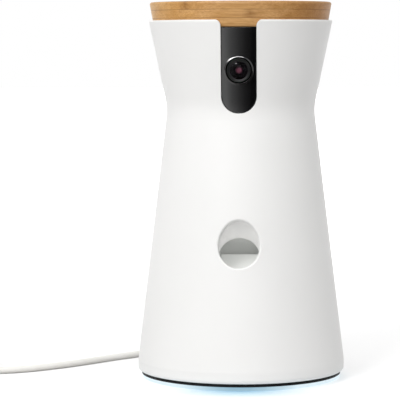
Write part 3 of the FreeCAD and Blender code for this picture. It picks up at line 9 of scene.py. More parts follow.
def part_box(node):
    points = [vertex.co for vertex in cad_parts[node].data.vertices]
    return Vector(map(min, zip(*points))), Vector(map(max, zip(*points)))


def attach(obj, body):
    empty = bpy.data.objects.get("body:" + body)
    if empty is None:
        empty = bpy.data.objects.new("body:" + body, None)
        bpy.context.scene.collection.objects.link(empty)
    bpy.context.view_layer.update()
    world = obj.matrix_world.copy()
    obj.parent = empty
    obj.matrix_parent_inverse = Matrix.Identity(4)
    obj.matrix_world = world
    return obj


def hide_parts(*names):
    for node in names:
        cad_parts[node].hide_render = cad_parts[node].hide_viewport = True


# A camera that watches a pet and tosses treats to it: materials, detailed pieces, light and view.
# Everything is in metres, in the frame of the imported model: front towards -Y, Z up. Profiles and
# boxes that are given in millimetres say so.

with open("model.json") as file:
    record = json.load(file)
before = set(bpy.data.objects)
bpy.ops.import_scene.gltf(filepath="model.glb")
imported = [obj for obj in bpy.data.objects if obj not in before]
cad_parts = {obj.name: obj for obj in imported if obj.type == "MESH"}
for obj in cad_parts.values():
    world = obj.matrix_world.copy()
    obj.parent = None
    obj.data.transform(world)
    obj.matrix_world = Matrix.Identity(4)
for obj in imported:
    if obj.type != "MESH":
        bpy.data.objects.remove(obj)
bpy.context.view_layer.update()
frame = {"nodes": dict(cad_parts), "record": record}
NODES = frame["nodes"]
MM = 0.001

# ---------------------------------------------------------------- camera

# The photograph's view: distance, height and bearing of the camera, its focal length in
# pixels of a square frame, and how it is turned.
CAMERA_DISTANCE = 1.24851
CAMERA_HEIGHT = 0.19865
CAMERA_BEARING = 0.02242
FOCAL_PIXELS = 2104.49
FRAME_PIXELS = 400
SENSOR_WIDTH = 36
CAMERA_YAW = -0.04186
CAMERA_PITCH = -0.0745
CAMERA_ROLL = -0.00285
VIEW_END = 50


def make_camera():
    """The photograph's camera, with no shift and no depth of field."""
    place = Vector((
        CAMERA_DISTANCE * math.sin(CAMERA_BEARING),
        -CAMERA_DISTANCE * math.cos(CAMERA_BEARING),
        CAMERA_HEIGHT,
    ))
    flat = Vector((math.sin(CAMERA_YAW), math.cos(CAMERA_YAW), 0))
    forward = flat * math.cos(CAMERA_PITCH) + Vector((0, 0, math.sin(CAMERA_PITCH)))
    level = Vector((math.cos(CAMERA_YAW), -math.sin(CAMERA_YAW), 0))
    upright = level.cross(forward)
    right = level * math.cos(CAMERA_ROLL) + upright * math.sin(CAMERA_ROLL)
    up = upright * math.cos(CAMERA_ROLL) - level * math.sin(CAMERA_ROLL)
    data = bpy.data.cameras.new("view")
    data.sensor_width = SENSOR_WIDTH
    data.lens = FOCAL_PIXELS / FRAME_PIXELS * SENSOR_WIDTH
    data.clip_end = VIEW_END
    camera = bpy.data.objects.new("view", data)
    turn = Matrix((right, up, -forward)).transposed().to_4x4()
    camera.matrix_world = Matrix.Translation(place) @ turn
    bpy.context.scene.collection.objects.link(camera)
    bpy.context.scene.camera = camera


make_camera()

# ---------------------------------------------------------------- shader helpers

BEVEL_SAMPLES = 6


class Nodes:
    """A node tree that is built up call by call; each call returns the socket of its result."""

    def __init__(self, tree):
        self.tree = tree
        self.coordinates = self.node("ShaderNodeTexCoord").outputs
        self.where = self.coordinates["Object"]

    def node(self, kind, **settings):
        made = self.tree.nodes.new(kind)
        for key, value in settings.items():
            setattr(made, key, value)
        return made

    def link(self, start, end):
        self.tree.links.new(start, end)

    def feed(self, socket, value):
        """Link a socket to an output, or give it a number or a colour."""
        if hasattr(value, "is_output"):
            self.link(value, socket)
        else:
            socket.default_value = (*value, 1) if hasattr(value, "__len__") else value

    def stretch(self, scale):
        mapping = self.node("ShaderNodeMapping")
        mapping.inputs["Scale"].default_value = scale
        self.link(self.where, mapping.inputs["Vector"])
        return mapping.outputs["Vector"]

    def noise(self, scale, detail=3.0, rough=0.5, vector=None, distortion=0.0):
        made = self.node("ShaderNodeTexNoise")
        made.inputs["Scale"].default_value = scale
        made.inputs["Detail"].default_value = detail
        made.inputs["Roughness"].default_value = rough
        made.inputs["Distortion"].default_value = distortion
        self.link(self.where if vector is None else vector, made.inputs["Vector"])
        return made.outputs["Fac"]

    def ramp(self, factor, *stops):
        made = self.node("ShaderNodeValToRGB")
        elements = made.color_ramp.elements
        while len(elements) < len(stops):
            elements.new(0.5)
        for element, (place, colour) in zip(elements, stops):
            element.position = place
            element.color = (*colour, 1)
        self.link(factor, made.inputs["Fac"])
        return made.outputs["Color"]

    def levels(self, factor, low, high, from_low=0.3, from_high=0.7):
        """Map a range of the factor to another; the usual range is what noise fills."""
        made = self.node("ShaderNodeMapRange")
        names = ("From Min", "From Max", "To Min", "To Max")
        for name, value in zip(names, (from_low, from_high, low, high)):
            made.inputs[name].default_value = value
        self.link(factor, made.inputs["Value"])
        return made.outputs["Result"]

    def mix(self, factor, first, second, blend="MIX"):
        made = self.node("ShaderNodeMix", data_type="RGBA", blend_type=blend)
        for index, value in ((0, factor), (6, first), (7, second)):
            self.feed(made.inputs[index], value)
        return made.outputs[2]

    def math(self, operation, *values):
        made = self.node("ShaderNodeMath", operation=operation)
        for socket, value in zip(made.inputs, values):
            self.feed(socket, value)
        return made.outputs[0]

    def steps(self, value, start, size):
        """How many sizes a value lies past a start."""
        return self.math("MULTIPLY", self.math("SUBTRACT", value, start), 1 / size)

    def axis(self, vector, name):
        made = self.node("ShaderNodeSeparateXYZ")
        self.link(vector, made.inputs[0])
        return made.outputs[name]

    def bright_rays(self):
        """1 for camera, glossy and transmission rays, which see the plain white surround."""
        path = self.node("ShaderNodeLightPath")
        most = path.outputs["Is Camera Ray"]
        for name in ("Is Glossy Ray", "Is Transmission Ray"):
            most = self.math("MAXIMUM", most, path.outputs[name])
        return most


class Shader(Nodes):
    """The nodes of a new material, round its Principled shader."""

    def __init__(self, name):
        self.material = bpy.data.materials.new(name)
        self.material.use_nodes = True
        super().__init__(self.material.node_tree)
        self.bsdf = self.tree.nodes["Principled BSDF"]
        self.output = self.tree.nodes["Material Output"]

    def set(self, **values):
        for key, value in values.items():
            self.bsdf.inputs[key.replace("_", " ")].default_value = value
        return self

    def colour(self, value):
        self.link(value, self.bsdf.inputs["Base Color"])

    def rough(self, value):
        self.link(value, self.bsdf.inputs["Roughness"])

    def bump(self, height, distance, edge=0.0):
        """Relief of a height, on edges that are rounded by a radius."""
        made = self.node("ShaderNodeBump")
        made.inputs["Distance"].default_value = distance
        self.link(height, made.inputs["Height"])
        if edge:
            bevel = self.node("ShaderNodeBevel", samples=BEVEL_SAMPLES)
            bevel.inputs["Radius"].default_value = edge
            self.link(bevel.outputs["Normal"], made.inputs["Normal"])
        self.link(made.outputs["Normal"], self.bsdf.inputs["Normal"])


def surface(name, dark, light, cloud, rough, patch=None, grain=None, depth=0.0, edge=0.0,
            **values):
    """Clouding between two colours, uneven gloss and a fine grain, each from its own noise.

    A noise is (scale, detail, roughness). Without a patch the gloss follows the clouding, and
    without a grain the surface is smooth.
    """
    shade = Shader(name)
    clouds = shade.noise(*cloud)
    shade.colour(shade.ramp(clouds, (0.3, dark), (0.7, light)))
    shade.rough(shade.levels(shade.noise(*patch) if patch else clouds, *rough))
    if grain:
        shade.bump(shade.noise(*grain), depth, edge)
    return shade.set(**values).material


def moulded(name, colour, rough, spread=0.04, **values):
    """Moulded plastic: slight clouding of the colour, uneven gloss and a fine spark texture."""
    dark = tuple(c * (1 - spread) for c in colour)
    light = tuple(min(1.0, c * (1 + spread)) for c in colour)
    return surface(name, dark, light, (35, 4, 0.55), (rough - 0.05, rough + 0.05), (120, 3),
                   (900, 2, 0.6), 0.00002, 0.0003, **values)


def metal(name, colour, rough, scratch=(60, 60, 900)):
    """Worked metal: fine lines along one direction and slightly uneven gloss."""
    shade = Shader(name)
    dark = tuple(c * 0.82 for c in colour)
    lines = shade.noise(1.0, 6, 0.6, shade.stretch(scratch))
    shade.colour(shade.ramp(lines, (0.3, dark), (0.7, colour)))
    shade.rough(shade.levels(lines, rough - 0.06, rough + 0.1))
    shade.bump(lines, 0.00001, edge=0.0002)
    return shade.set(Metallic=1.0).material


# ---------------------------------------------------------------- materials

# The bamboo board: where its plies and strips start and how high and wide they are, how long
# their blocks are, and how far strips and plies are set off from each other. The scales draw
# the noise out along X.
PLY_START = 0.2081
PLY_HEIGHT = 0.0048
STRIP_START = -0.2
STRIP_WIDTH = 0.0235
BLOCK_LENGTH = 0.145
STRIP_OFFSET = 0.11
STRIP_SCATTER = 0.377
PLY_OFFSET = 0.037
BAMBOO_TONES = (
    (0.0, (0.66, 0.385, 0.15)), (0.45, (0.72, 0.435, 0.185)), (1.0, (0.80, 0.52, 0.25)),
)
FIBRE_SCALE, FIBRE_COLOUR = (55, 1500, 2100), (0.30, 0.14, 0.035)
STREAK_SCALE, STREAK_COLOUR = (9, 260, 420), (0.38, 0.18, 0.045)
KNOT_SCALE, KNOT_COLOUR = (120, 700, 900), (0.27, 0.125, 0.04)
KNOT_WIDTH = 0.035
SEAM_EDGE, SEAM_COLOUR = (0.455, 0.495), (0.20, 0.095, 0.035)

# Painted shade on the board's side, away from the light: how it darkens and warms from left to
# right, the levels between which that fades and what is left of it on the top face, and how much
# it wavers.
BAMBOO_PAINTED_SHADE = (
    (0.0, (1.0, 1.0, 0.92)), (0.14, (1.0, 0.95, 0.75)), (0.3, (1.0, 1.0, 1.0)),
    (0.45, (0.95, 0.93, 0.86)), (0.62, (0.97, 0.96, 0.95)), (0.74, (0.92, 0.88, 0.82)),
    (0.84, (0.72, 0.62, 0.48)), (1.0, (0.76, 0.66, 0.54)),
)
BOARD_HALF_WIDTH = 0.052
PAINTED_SHADE_FADE = (0.2205, 0.2224)
PAINTED_SHADE_ON_TOP = 0.3
WAVER_SCALE, WAVER = (24, 90, 160), 0.09


def bamboo_material():
    """Bamboo board: three plies, narrow strips with their own tone, fibres, knots and painted
    shade.
    """
    shade = Shader("bamboo_board")
    x, y, z = (shade.axis(shade.where, name) for name in "XYZ")
    strip = shade.math("FLOOR", shade.steps(y, STRIP_START, STRIP_WIDTH))
    plies = shade.steps(z, PLY_START, PLY_HEIGHT)
    level = shade.math("FLOOR", plies)
    scatter = shade.math("FRACT", shade.math("MULTIPLY", strip, STRIP_SCATTER))
    along = shade.math("ADD", x, shade.math("MULTIPLY", scatter, STRIP_OFFSET))
    along = shade.math("ADD", along, shade.math("MULTIPLY", level, PLY_OFFSET))
    blocks = shade.math("MULTIPLY", along, 1 / BLOCK_LENGTH)
    seed = shade.node("ShaderNodeCombineXYZ")
    for socket, value in zip(seed.inputs, (strip, level, shade.math("FLOOR", blocks))):
        shade.link(value, socket)
    tone = shade.node("ShaderNodeTexWhiteNoise", noise_dimensions="3D")
    shade.link(seed.outputs[0], tone.inputs["Vector"])
    base = shade.ramp(tone.outputs["Value"], *BAMBOO_TONES)

    fibre = shade.noise(1.0, 8, 0.68, shade.stretch(FIBRE_SCALE), 0.15)
    streak = shade.noise(1.0, 4, 0.6, shade.stretch(STREAK_SCALE))
    base = shade.mix(shade.levels(fibre, 0.0, 0.55), base, FIBRE_COLOUR, "MULTIPLY")
    base = shade.mix(shade.levels(streak, 0.0, 0.6, 0.45, 0.75), base, STREAK_COLOUR)

    def off_middle(value):
        """Distance of a value from the middle of its step: 0 to a half."""
        return shade.math("ABSOLUTE", shade.math("SUBTRACT", shade.math("FRACT", value), 0.5))

    patches = shade.noise(1.0, 4, 0.6, shade.stretch(KNOT_SCALE))
    knot = shade.levels(off_middle(blocks), 1.0, 0.0, 0.0, KNOT_WIDTH)
    knot = shade.math("MULTIPLY", knot, shade.levels(patches, 0.2, 0.9))
    base = shade.mix(knot, base, KNOT_COLOUR)
    seam = shade.levels(off_middle(plies), 0.0, 0.75, *SEAM_EDGE)
    base = shade.mix(seam, base, SEAM_COLOUR)

    # Painted shade: the board's side darkens towards the right, away from the light, and much less
    # on its top face.
    waver = shade.levels(shade.noise(1.0, 3, 0.6, shade.stretch(WAVER_SCALE)), -WAVER, WAVER)
    painted_shade = shade.levels(x, 0.0, 1.0, -BOARD_HALF_WIDTH, BOARD_HALF_WIDTH)
    painted_shade = shade.math("ADD", painted_shade, waver)
    beside = shade.levels(z, 1.0, PAINTED_SHADE_ON_TOP, *PAINTED_SHADE_FADE)
    base = shade.mix(beside, base, shade.ramp(painted_shade, *BAMBOO_PAINTED_SHADE), "MULTIPLY")
    shade.colour(base)
    shade.rough(shade.levels(fibre, 0.38, 0.54))
    shade.bump(fibre, 0.00004, edge=0.0015)
    return shade.set(IOR=1.45, Specular_IOR_Level=0.18, Coat_Weight=0.05,
                     Coat_Roughness=0.3).material


# The light ring's glow from the middle of its front, darker blue there as painted shade, to its
# sides, and where that lies along Y.
RING_GLOW_AND_PAINTED_SHADE = ((0.0, (0.23, 0.42, 0.53)), (0.2, (0.40, 0.58, 0.67)), (0.85, (0.78, 0.90, 0.95)))
RING_GLOW_REACH = (-0.0587, -0.046)


def light_ring_material():
    """Frosted ring with a soft glow, nearly white beside the front; its darker blue in the middle
    of the front is painted shade.
    """
    shade = Shader("glowing_ring")
    cloud = shade.noise(220, 3)
    shade.colour(shade.ramp(cloud, (0.3, (0.08, 0.10, 0.12)), (0.7, (0.11, 0.14, 0.16))))
    shade.rough(shade.levels(cloud, 0.45, 0.6))
    front = shade.levels(shade.axis(shade.where, "Y"), 0.0, 1.0, *RING_GLOW_REACH)
    shade.link(shade.ramp(front, *RING_GLOW_AND_PAINTED_SHADE), shade.bsdf.inputs["Emission Color"])
    shade.bump(shade.noise(1200, 2), 0.00002)
    return shade.set(Emission_Strength=0.82).material


def circuit_material():
    """Green circuit board with faint copper tracks under the lacquer."""
    shade = Shader("circuit_board")
    cells = shade.node("ShaderNodeTexVoronoi", feature="DISTANCE_TO_EDGE", distance="MANHATTAN")
    cells.inputs["Scale"].default_value = 420
    shade.link(shade.where, cells.inputs["Vector"])
    track = shade.levels(cells.outputs["Distance"], 1.0, 0.0, 0.02, 0.07)
    shade.colour(shade.mix(track, (0.02, 0.13, 0.06), (0.05, 0.24, 0.12)))
    shade.rough(shade.levels(shade.noise(200, 2), 0.25, 0.4))
    shade.bump(track, 0.00003, edge=0.0002)
    return shade.material


def rubber_material(name, colour):
    """Matt rubber with fine pores."""
    light = tuple(c * 1.5 for c in colour)
    pores = (1500, 3, 0.6)
    return surface(name, colour, light, pores, (0.7, 0.88), (200, 2), pores, 0.00005)


def strap_material():
    """Dark woven loop fabric."""
    shade = Shader("loop_fabric")
    weave = shade.noise(1.0, 3, 0.6, shade.stretch((2600, 1300, 1300)))
    shade.colour(shade.ramp(weave, (0.3, (0.018, 0.018, 0.02)), (0.7, (0.05, 0.05, 0.055))))
    shade.rough(shade.levels(weave, 0.75, 0.95))
    shade.bump(weave, 0.00012)
    return shade.set(Sheen_Weight=0.3).material


SLOTS = {
    # Satin white moulded plastic of the shell.
    "white_shell": surface(
        "satin_white", (0.815, 0.812, 0.80), (0.845, 0.84, 0.83), (14, 4, 0.5), (0.44, 0.52),
        (60, 3), (1900, 2, 0.6), 0.000012, 0.0009, IOR=1.45, Specular_IOR_Level=0.25),
    "bamboo": bamboo_material(),
    # Deep black gloss of the camera window.
    "black_gloss": surface(
        "black_gloss", (0.002, 0.002, 0.0022), (0.0035, 0.0035, 0.004), (40, 2), (0.05, 0.09),
        (70, 3), (25, 2), 0.000004, 0.0001, IOR=1.65),
    "light_ring": light_ring_material(),
    # Coated front glass of the lens.
    "lens_glass": surface(
        "coated_glass", (0.66, 0.62, 0.70), (0.74, 0.70, 0.78), (60, 2), (0.015, 0.03),
        Transmission_Weight=1.0, IOR=1.12),
    "circuit": circuit_material(),
    # Soft warm grey jacket of the cord.
    "cord_plastic": surface(
        "cord_jacket", (0.79, 0.775, 0.735), (0.86, 0.845, 0.81), (28, 4), (0.42, 0.56),
        (300, 3), (1400, 2), 0.00002, IOR=1.46),
    "black_plastic": moulded("black_satin", (0.006, 0.006, 0.0065), 0.5, 0.2,
                             Specular_IOR_Level=0.1),
    "grey_plastic": moulded("grey_moulded", (0.50, 0.505, 0.50), 0.5),
    "chute_plastic": moulded("chute_white", (0.86, 0.87, 0.85), 0.42),
    "wheel_plastic": moulded("wheel_white", (0.74, 0.735, 0.71), 0.42),
    "gear_plastic": moulded("acetal", (0.78, 0.77, 0.71), 0.38),
    "cable_ribbon": moulded("ribbon", (0.05, 0.05, 0.055), 0.5),
    "rubber": rubber_material("rubber_black", (0.022, 0.022, 0.022)),
    "steel": metal("steel", (0.56, 0.56, 0.57), 0.3),
    "motor_steel": metal("motor_case", (0.50, 0.50, 0.51), 0.34, (700, 700, 60)),
    "brass": metal("brass", (0.70, 0.52, 0.24), 0.28, (900, 900, 90)),
    "aluminium": metal("aluminium", (0.70, 0.71, 0.73), 0.34, (80, 80, 1400)),
}


def dress_nodes():
    """Every carried-over node gets the material of its slot."""
    for part in frame["record"]["subparts"]:
        data = NODES[part["node"]].data
        data.materials.clear()
        data.materials.append(SLOTS[part["material_slot"]])


dress_nodes()

# ---------------------------------------------------------------- mesh helpers

SHARP_ANGLE = 38
TIP_RADIUS = 1e-7


def add_piece(name, data, slot, body, replaced=None, material=None):
    """A new piece on a body, with the material of the named slot unless one is given."""
    piece = bpy.data.objects.new(name, data)
    bpy.context.scene.collection.objects.link(piece)
    data.materials.append(material or SLOTS[slot])
    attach(piece, body)
    piece = piece
    if replaced:
        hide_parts(replaced)
    return piece


def finish_mesh(name, work, angle=SHARP_ANGLE):
    """Turn a bmesh into smooth mesh data whose edges sharper than an angle are kept."""
    mesh = bpy.data.meshes.new(name)
    bmesh.ops.recalc_face_normals(work, faces=work.faces)
    for face in work.faces:
        face.smooth = True
    work.to_mesh(mesh)
    work.free()
    mesh.set_sharp_from_angle(angle=math.radians(angle))
    return mesh


def bridge(work, first, second):
    """Faces between two closed rings of vertices, of which one may be a single vertex."""
    count = max(len(first), len(second))
    for i in range(count):
        j = (i + 1) % count
        if len(first) == 1:
            corners = (first[0], second[i], second[j])
        elif len(second) == 1:
            corners = (first[i], second[0], first[j])
        else:
            corners = (first[i], second[i], second[j], first[j])
        work.faces.new(corners)


def rounded_profile(corners, steps):
    """Points of an open outline whose corners (r, z, rounding) are replaced by arcs."""
    points = []
    for i, corner in enumerate(corners):
        here = Vector(corner[:2])
        if len(corner) < 3 or i in (0, len(corners) - 1):
            points.append(here)
            continue
        into = (here - Vector(corners[i - 1][:2])).normalized()
        out = (Vector(corners[i + 1][:2]) - here).normalized()
        turn = into.angle(out)
        radius = corner[2]
        start = here - into * radius * math.tan(turn / 2)
        side = Vector((-into.y, into.x))
        if side.dot(out) < 0:
            side = -side
        centre = start + side * radius
        for step in range(steps + 1):
            angle = turn * step / steps
            points.append(centre + (into * math.sin(angle) - side * math.cos(angle)) * radius)
    return points


def lathe(name, corners, centre, axis, segments=96, steps=6):
    """A surface turned about an axis through a point; corners are (r, along, rounding) in mm."""
    profile = rounded_profile([tuple(c * MM for c in corner) for corner in corners], steps)
    axis = Vector(axis).normalized()
    side = axis.orthogonal().normalized()
    other = axis.cross(side)
    work = bmesh.new()
    rings = []
    for radius, along in profile:
        middle = Vector(centre) + axis * along
        ring = []
        for i in range(1 if radius < TIP_RADIUS else segments):
            angle = 2 * math.pi * i / segments
            out = side * math.cos(angle) + other * math.sin(angle)
            ring.append(work.verts.new(middle + out * radius))
        rings.append(ring)
    for first, second in zip(rings, rings[1:]):
        bridge(work, first, second)
    return finish_mesh(name, work)


def boxes(name, origin, rows):
    """Boxes with rounded edges; a row is (low corner, high corner, rounding, segments) in mm."""
    work = bmesh.new()
    for low, high, rounding, segments in rows:
        low, high = Vector(low) * MM, Vector(high) * MM
        size, middle = high - low, origin + (low + high) / 2
        made = bmesh.ops.create_cube(work, size=1.0)["verts"]
        for vert in made:
            vert.co = Vector(c * s for c, s in zip(vert.co, size)) + middle
        edges = list({edge for vert in made for edge in vert.link_edges})
        bmesh.ops.bevel(work, geom=edges, offset=rounding * MM, segments=segments, profile=0.5,
                        affect="EDGES")
    return finish_mesh(name, work)


# ---------------------------------------------------------------- cord

CORD_RADIUS = 2.0 * MM
ROUTE = [
    (0.0, 0.0495, 0.00205),
    (0.0, 0.0800, 0.00205),
    (-0.0340, 0.0980, 0.00205),
    (-0.0720, 0.0700, 0.00205),
    (-0.1020, 0.0330, 0.00205),
    (-0.1360, 0.0030, 0.00205),
    (-0.1800, -0.0036, 0.0026),
]

# The coil: radii of its spiral, degrees between its control points, its layers and their
# turns, what the last layer turns further, and the straight tail to the supply plug.
COIL_OUTER = 27.5 * MM
COIL_INNER = 17.5 * MM
COIL_STEP = 15.0
COIL_LAYERS = 4
LAYER_RISE = 4.0 * MM
LAYER_TURNS = 2.5
LAST_TURN = 0.1
COIL_GAP = 0.1 * MM
TAIL = 17.0 * MM
TAIL_IN_PLUG = 6 * MM

# Start and length, as shares of the last turn, of its step outwards and its way down.
STEP_OUT = (0.36, 0.24)
WAY_DOWN = (0.40, 0.58)


def coil_centre():
    """Middle of the coil: one outer radius to the side of the route's end."""
    run = Vector(ROUTE[-1]) - Vector(ROUTE[-2])
    run.z = 0
    run.normalize()
    return Vector(ROUTE[-1]) + Vector((run.y, -run.x, 0)) * COIL_OUTER


def ease(share, start, length):
    """A smooth step from 0 to 1 that begins at a start and takes a length."""
    share = min(1.0, max(0.0, (share - start) / length))
    return share * share * (3 - 2 * share)


def coil_points():
    """Control points of the wound length: its layers, then one turn down round the outside."""
    centre = coil_centre()
    start = Vector(ROUTE[-1]) - centre
    angle = math.degrees(math.atan2(start.y, start.x))
    floor_level = level = ROUTE[-1][2]
    track = []
    for layer in range(COIL_LAYERS):
        ends = (COIL_OUTER, COIL_INNER)
        first, last = ends if layer % 2 == 0 else reversed(ends)
        on_top = layer == COIL_LAYERS - 1
        count = round((LAYER_TURNS + LAST_TURN * on_top) * 360 / COIL_STEP)
        track += [(first + (last - first) * i / count, level) for i in range(count)]
        if not on_top:
            climb = round(180 / COIL_STEP)
            track += [(last, level + LAYER_RISE * i / climb) for i in range(climb)]
            level += LAYER_RISE
    around = (angle - len(track) * COIL_STEP) % 360
    left = round((around + 180) / COIL_STEP)
    outside = COIL_OUTER + CORD_RADIUS * 2 + COIL_GAP
    for i in range(left):
        out, down = ease(i / left, *STEP_OUT), ease(i / left, *WAY_DOWN)
        track.append((COIL_OUTER + (outside - COIL_OUTER) * out,
                      level + (floor_level - level) * down))
    points = []
    swell = 1 / math.cos(math.radians(COIL_STEP / 2))
    for i, (radius, height) in enumerate(track[1:], start=1):
        turn = math.radians(angle - i * COIL_STEP)
        points.append((centre.x + radius * swell * math.cos(turn),
                       centre.y + radius * swell * math.sin(turn), height))
    for along in (0.0, TAIL * 0.5, TAIL, TAIL + TAIL_IN_PLUG):
        points.append((centre.x - outside, centre.y + along, floor_level))
    return points


def make_cord():
    """The cord as one smooth curve from the base, over the floor and through the coil."""
    data = bpy.data.curves.new("power_cord", "CURVE")
    data.dimensions = "3D"
    data.resolution_u = 4
    data.bevel_depth = CORD_RADIUS
    data.bevel_resolution = 5
    data.use_fill_caps = True
    points = ROUTE + coil_points()
    line = data.splines.new("NURBS")
    line.points.add(len(points) - 1)
    for point, place in zip(line.points, points):
        point.co = (*place, 1)
    line.order_u = 3
    line.use_endpoint_u = True
    return add_piece("power_cord", data, "cord_plastic", "base")


power_cord = make_cord()
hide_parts("cord_tube", "cord_coil")

STRAP_THICKNESS = 0.5 * MM
STRAP_CORNER = 2.4 * MM
STRAP_EDGE = 0.15 * MM
CORNER_STEPS = 6


def make_tie():
    """Hook-and-loop strap round the coil, with rounded corners."""
    low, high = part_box("cord_tie")
    inset = STRAP_THICKNESS / 2 + STRAP_CORNER
    left, right = low.y + inset, high.y - inset
    bottom, top = inset, high.z - inset
    half = (high.x - low.x) / 2
    x = coil_centre().x
    work = bmesh.new()
    rings = []
    for i, (y, z) in enumerate(((right, top), (left, top), (left, bottom), (right, bottom))):
        for step in range(CORNER_STEPS + 1):
            turn = math.radians(90 * i + 90 / CORNER_STEPS * step)
            ring = []
            for side, out in ((half - STRAP_EDGE, -1), (half, 0), (half - STRAP_EDGE, 1)):
                reach = STRAP_CORNER + out * STRAP_THICKNESS / 2
                ring.append((side, y + reach * math.cos(turn), z + reach * math.sin(turn)))
            corners = [(x - side, *place) for side, *place in ring]
            corners += [(x + side, *place) for side, *place in reversed(ring)]
            rings.append([work.verts.new(corner) for corner in corners])
    for ring, after in zip(rings, rings[1:] + rings[:1]):
        bridge(work, ring, after)
    return add_piece("coil_strap", finish_mesh("coil_strap", work), "black_plastic", "base",
                     "cord_tie", strap_material())


coil_tie = make_tie()

# The supply plug in mm: its relief along the cord, then its grip, metal shell and tongue from
# the middle of the grip's rear end, at the floor.
RELIEF_LEVEL = 2.6
RELIEF_AXIS = (0, 13.4, 1.5)
RELIEF_RIBS = 6
RELIEF_PITCH = 1.75
RELIEF_DEPTH = 0.4
GRIP_START = 13.0
GRIP_HALF = 8.0
GRIP_LENGTH = 22.0
GRIP_RIBS = 5
GRIP_RIB_PITCH = 2.4
SHELL_HALF = 6.0
SHELL_BACK = 21.5
SHELL_FRONT = 34.0
SHELL_LOW = 1.85
SHELL_HIGH = 6.35
SHELL_WALL = 0.35
TONGUE_TOP = 4.0
CONTACTS = 4
CONTACT_PITCH = 2.3


def relief_profile():
    """Outline of the supply plug's tapered relief, with a groove between its ribs."""
    outline = [(0, -1.0), (2.15, -1.0), (2.15, 0, 0.4)]
    for i in range(RELIEF_RIBS):
        at = 1.0 + i * RELIEF_PITCH
        size = 2.5 + 0.09 * at
        groove = size - RELIEF_DEPTH
        outline += [(groove, at - 0.35), (size, at), (size, at + 0.95), (groove, at + 1.3)]
    return outline + [(3.4, 12.2), (3.6, 13.4), (0, 13.4)]


def grip_boxes():
    """Rounded grip with five low ribs on each side."""
    rows = [((-GRIP_HALF, 0, 0.05), (GRIP_HALF, GRIP_LENGTH, 8.15), 1.8, 5)]
    for side in (-1, 1):
        for i in range(GRIP_RIBS):
            at = 5.0 + i * GRIP_RIB_PITCH
            edge = side * GRIP_HALF
            high = (edge + side * 0.05 + 0.15, at + 1.1, 6.3)
            rows.append(((edge - 0.5, at, 1.9), high, 0.15, 2))
    return rows


def shell_boxes():
    """Floor, top and two sides of the plug's metal shell."""
    low = (-SHELL_HALF, SHELL_BACK, SHELL_LOW)
    high = (SHELL_HALF, SHELL_FRONT, SHELL_HIGH)
    return [
        (low, (SHELL_HALF, SHELL_FRONT, SHELL_LOW + SHELL_WALL), 0.1, 2),
        ((-SHELL_HALF, SHELL_BACK, SHELL_HIGH - SHELL_WALL), high, 0.1, 2),
        (low, (SHELL_WALL - SHELL_HALF, SHELL_FRONT, SHELL_HIGH), 0.1, 2),
        ((SHELL_HALF - SHELL_WALL, SHELL_BACK, SHELL_LOW), high, 0.1, 2),
    ]


def tongue_boxes():
    """Tongue inside the shell, with its contacts."""
    half = SHELL_HALF - SHELL_WALL
    low = (-half, SHELL_BACK, SHELL_LOW + SHELL_WALL)
    rows = [(low, (half, SHELL_FRONT - 0.6, TONGUE_TOP), 0.1, 2)]
    for i in range(CONTACTS):
        at = (i - (CONTACTS - 1) / 2) * CONTACT_PITCH
        rows.append(((at - 0.5, SHELL_BACK + 4, TONGUE_TOP - 0.05),
                     (at + 0.5, SHELL_FRONT - 1.6, TONGUE_TOP + 0.15), 0.05, 1))
    return rows


def make_supply_plug():
    """Moulded supply plug: tapered ribbed relief, rounded grip and metal shell with its tongue."""
    low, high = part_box("plug_supply")
    x, start = (low.x + high.x) / 2, low.y + TAIL
    end = Vector((x, start, low.z + RELIEF_LEVEL * MM))
    relief = lathe("supply_relief", relief_profile(), end, RELIEF_AXIS, 48)
    origin = Vector((x, start + GRIP_START * MM, 0))
    pieces = [add_piece("supply_relief", relief, "cord_plastic", "base", "plug_supply")]
    for name, rows, slot in (("supply_grip", grip_boxes(), "cord_plastic"),
                             ("supply_shell", shell_boxes(), "steel"),
                             ("supply_tongue", tongue_boxes(), "black_plastic")):
        pieces.append(add_piece(name, boxes(name, origin, rows), slot, "base", "plug_supply"))
    return pieces


supply_pieces = make_supply_plug()

# Half width, half height and level of the base's relief in mm, at the plug and at the cord.
BASE_RELIEF_START = Vector((3.4, 2.3, 4.05))
BASE_RELIEF_END = Vector((2.15, 2.0, 2.05))
BASE_RELIEF_GROOVE = 0.22
RIBBED_START, RIBBED_END = 0.15, 0.9
BASE_RELIEF_RINGS = 40
BASE_RELIEF_SIDES = 32
BASE_RELIEF_SHARP = 50


def make_base_relief():
    """Ribbed strain relief between the hidden plug and the cord, in the channel of the base."""
    low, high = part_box("plug_relief")
    work = bmesh.new()
    rings = []
    for i in range(BASE_RELIEF_RINGS + 1):
        share = i / BASE_RELIEF_RINGS
        wide, tall, level = BASE_RELIEF_START.lerp(BASE_RELIEF_END, share)
        ribbed = RIBBED_START < share < RIBBED_END and i % 4 in (2, 3)
        groove = BASE_RELIEF_GROOVE if ribbed else 0.0
        ring = []
        for j in range(BASE_RELIEF_SIDES):
            turn = 2 * math.pi * j / BASE_RELIEF_SIDES
            ring.append(work.verts.new((
                (wide - groove) * math.cos(turn) * MM,
                low.y + (high.y - low.y) * share,
                (level + (tall - groove) * math.sin(turn)) * MM,
            )))
        rings.append(ring)
    for first, second in zip(rings, rings[1:]):
        bridge(work, first, second)
    work.faces.new(rings[0])
    work.faces.new(rings[-1])
    data = finish_mesh("base_relief", work, BASE_RELIEF_SHARP)
    return add_piece("base_relief", data, "cord_plastic", "base", "plug_relief")


base_relief = make_base_relief()

# ---------------------------------------------------------------- camera lens

LENS_LEVEL = 0.183
PUPIL_RADIUS = 0.0025
# Painted purple-red reflection of the coating, from the middle of the inner element out to its
# rim.
PUPIL_PAINTED_REFLECTION = (
    (0.0, (0.085, 0.028, 0.036)), (0.5, (0.075, 0.026, 0.034)), (0.75, (0.016, 0.008, 0.012)),
    (1.0, (0.003, 0.002, 0.003)),
)


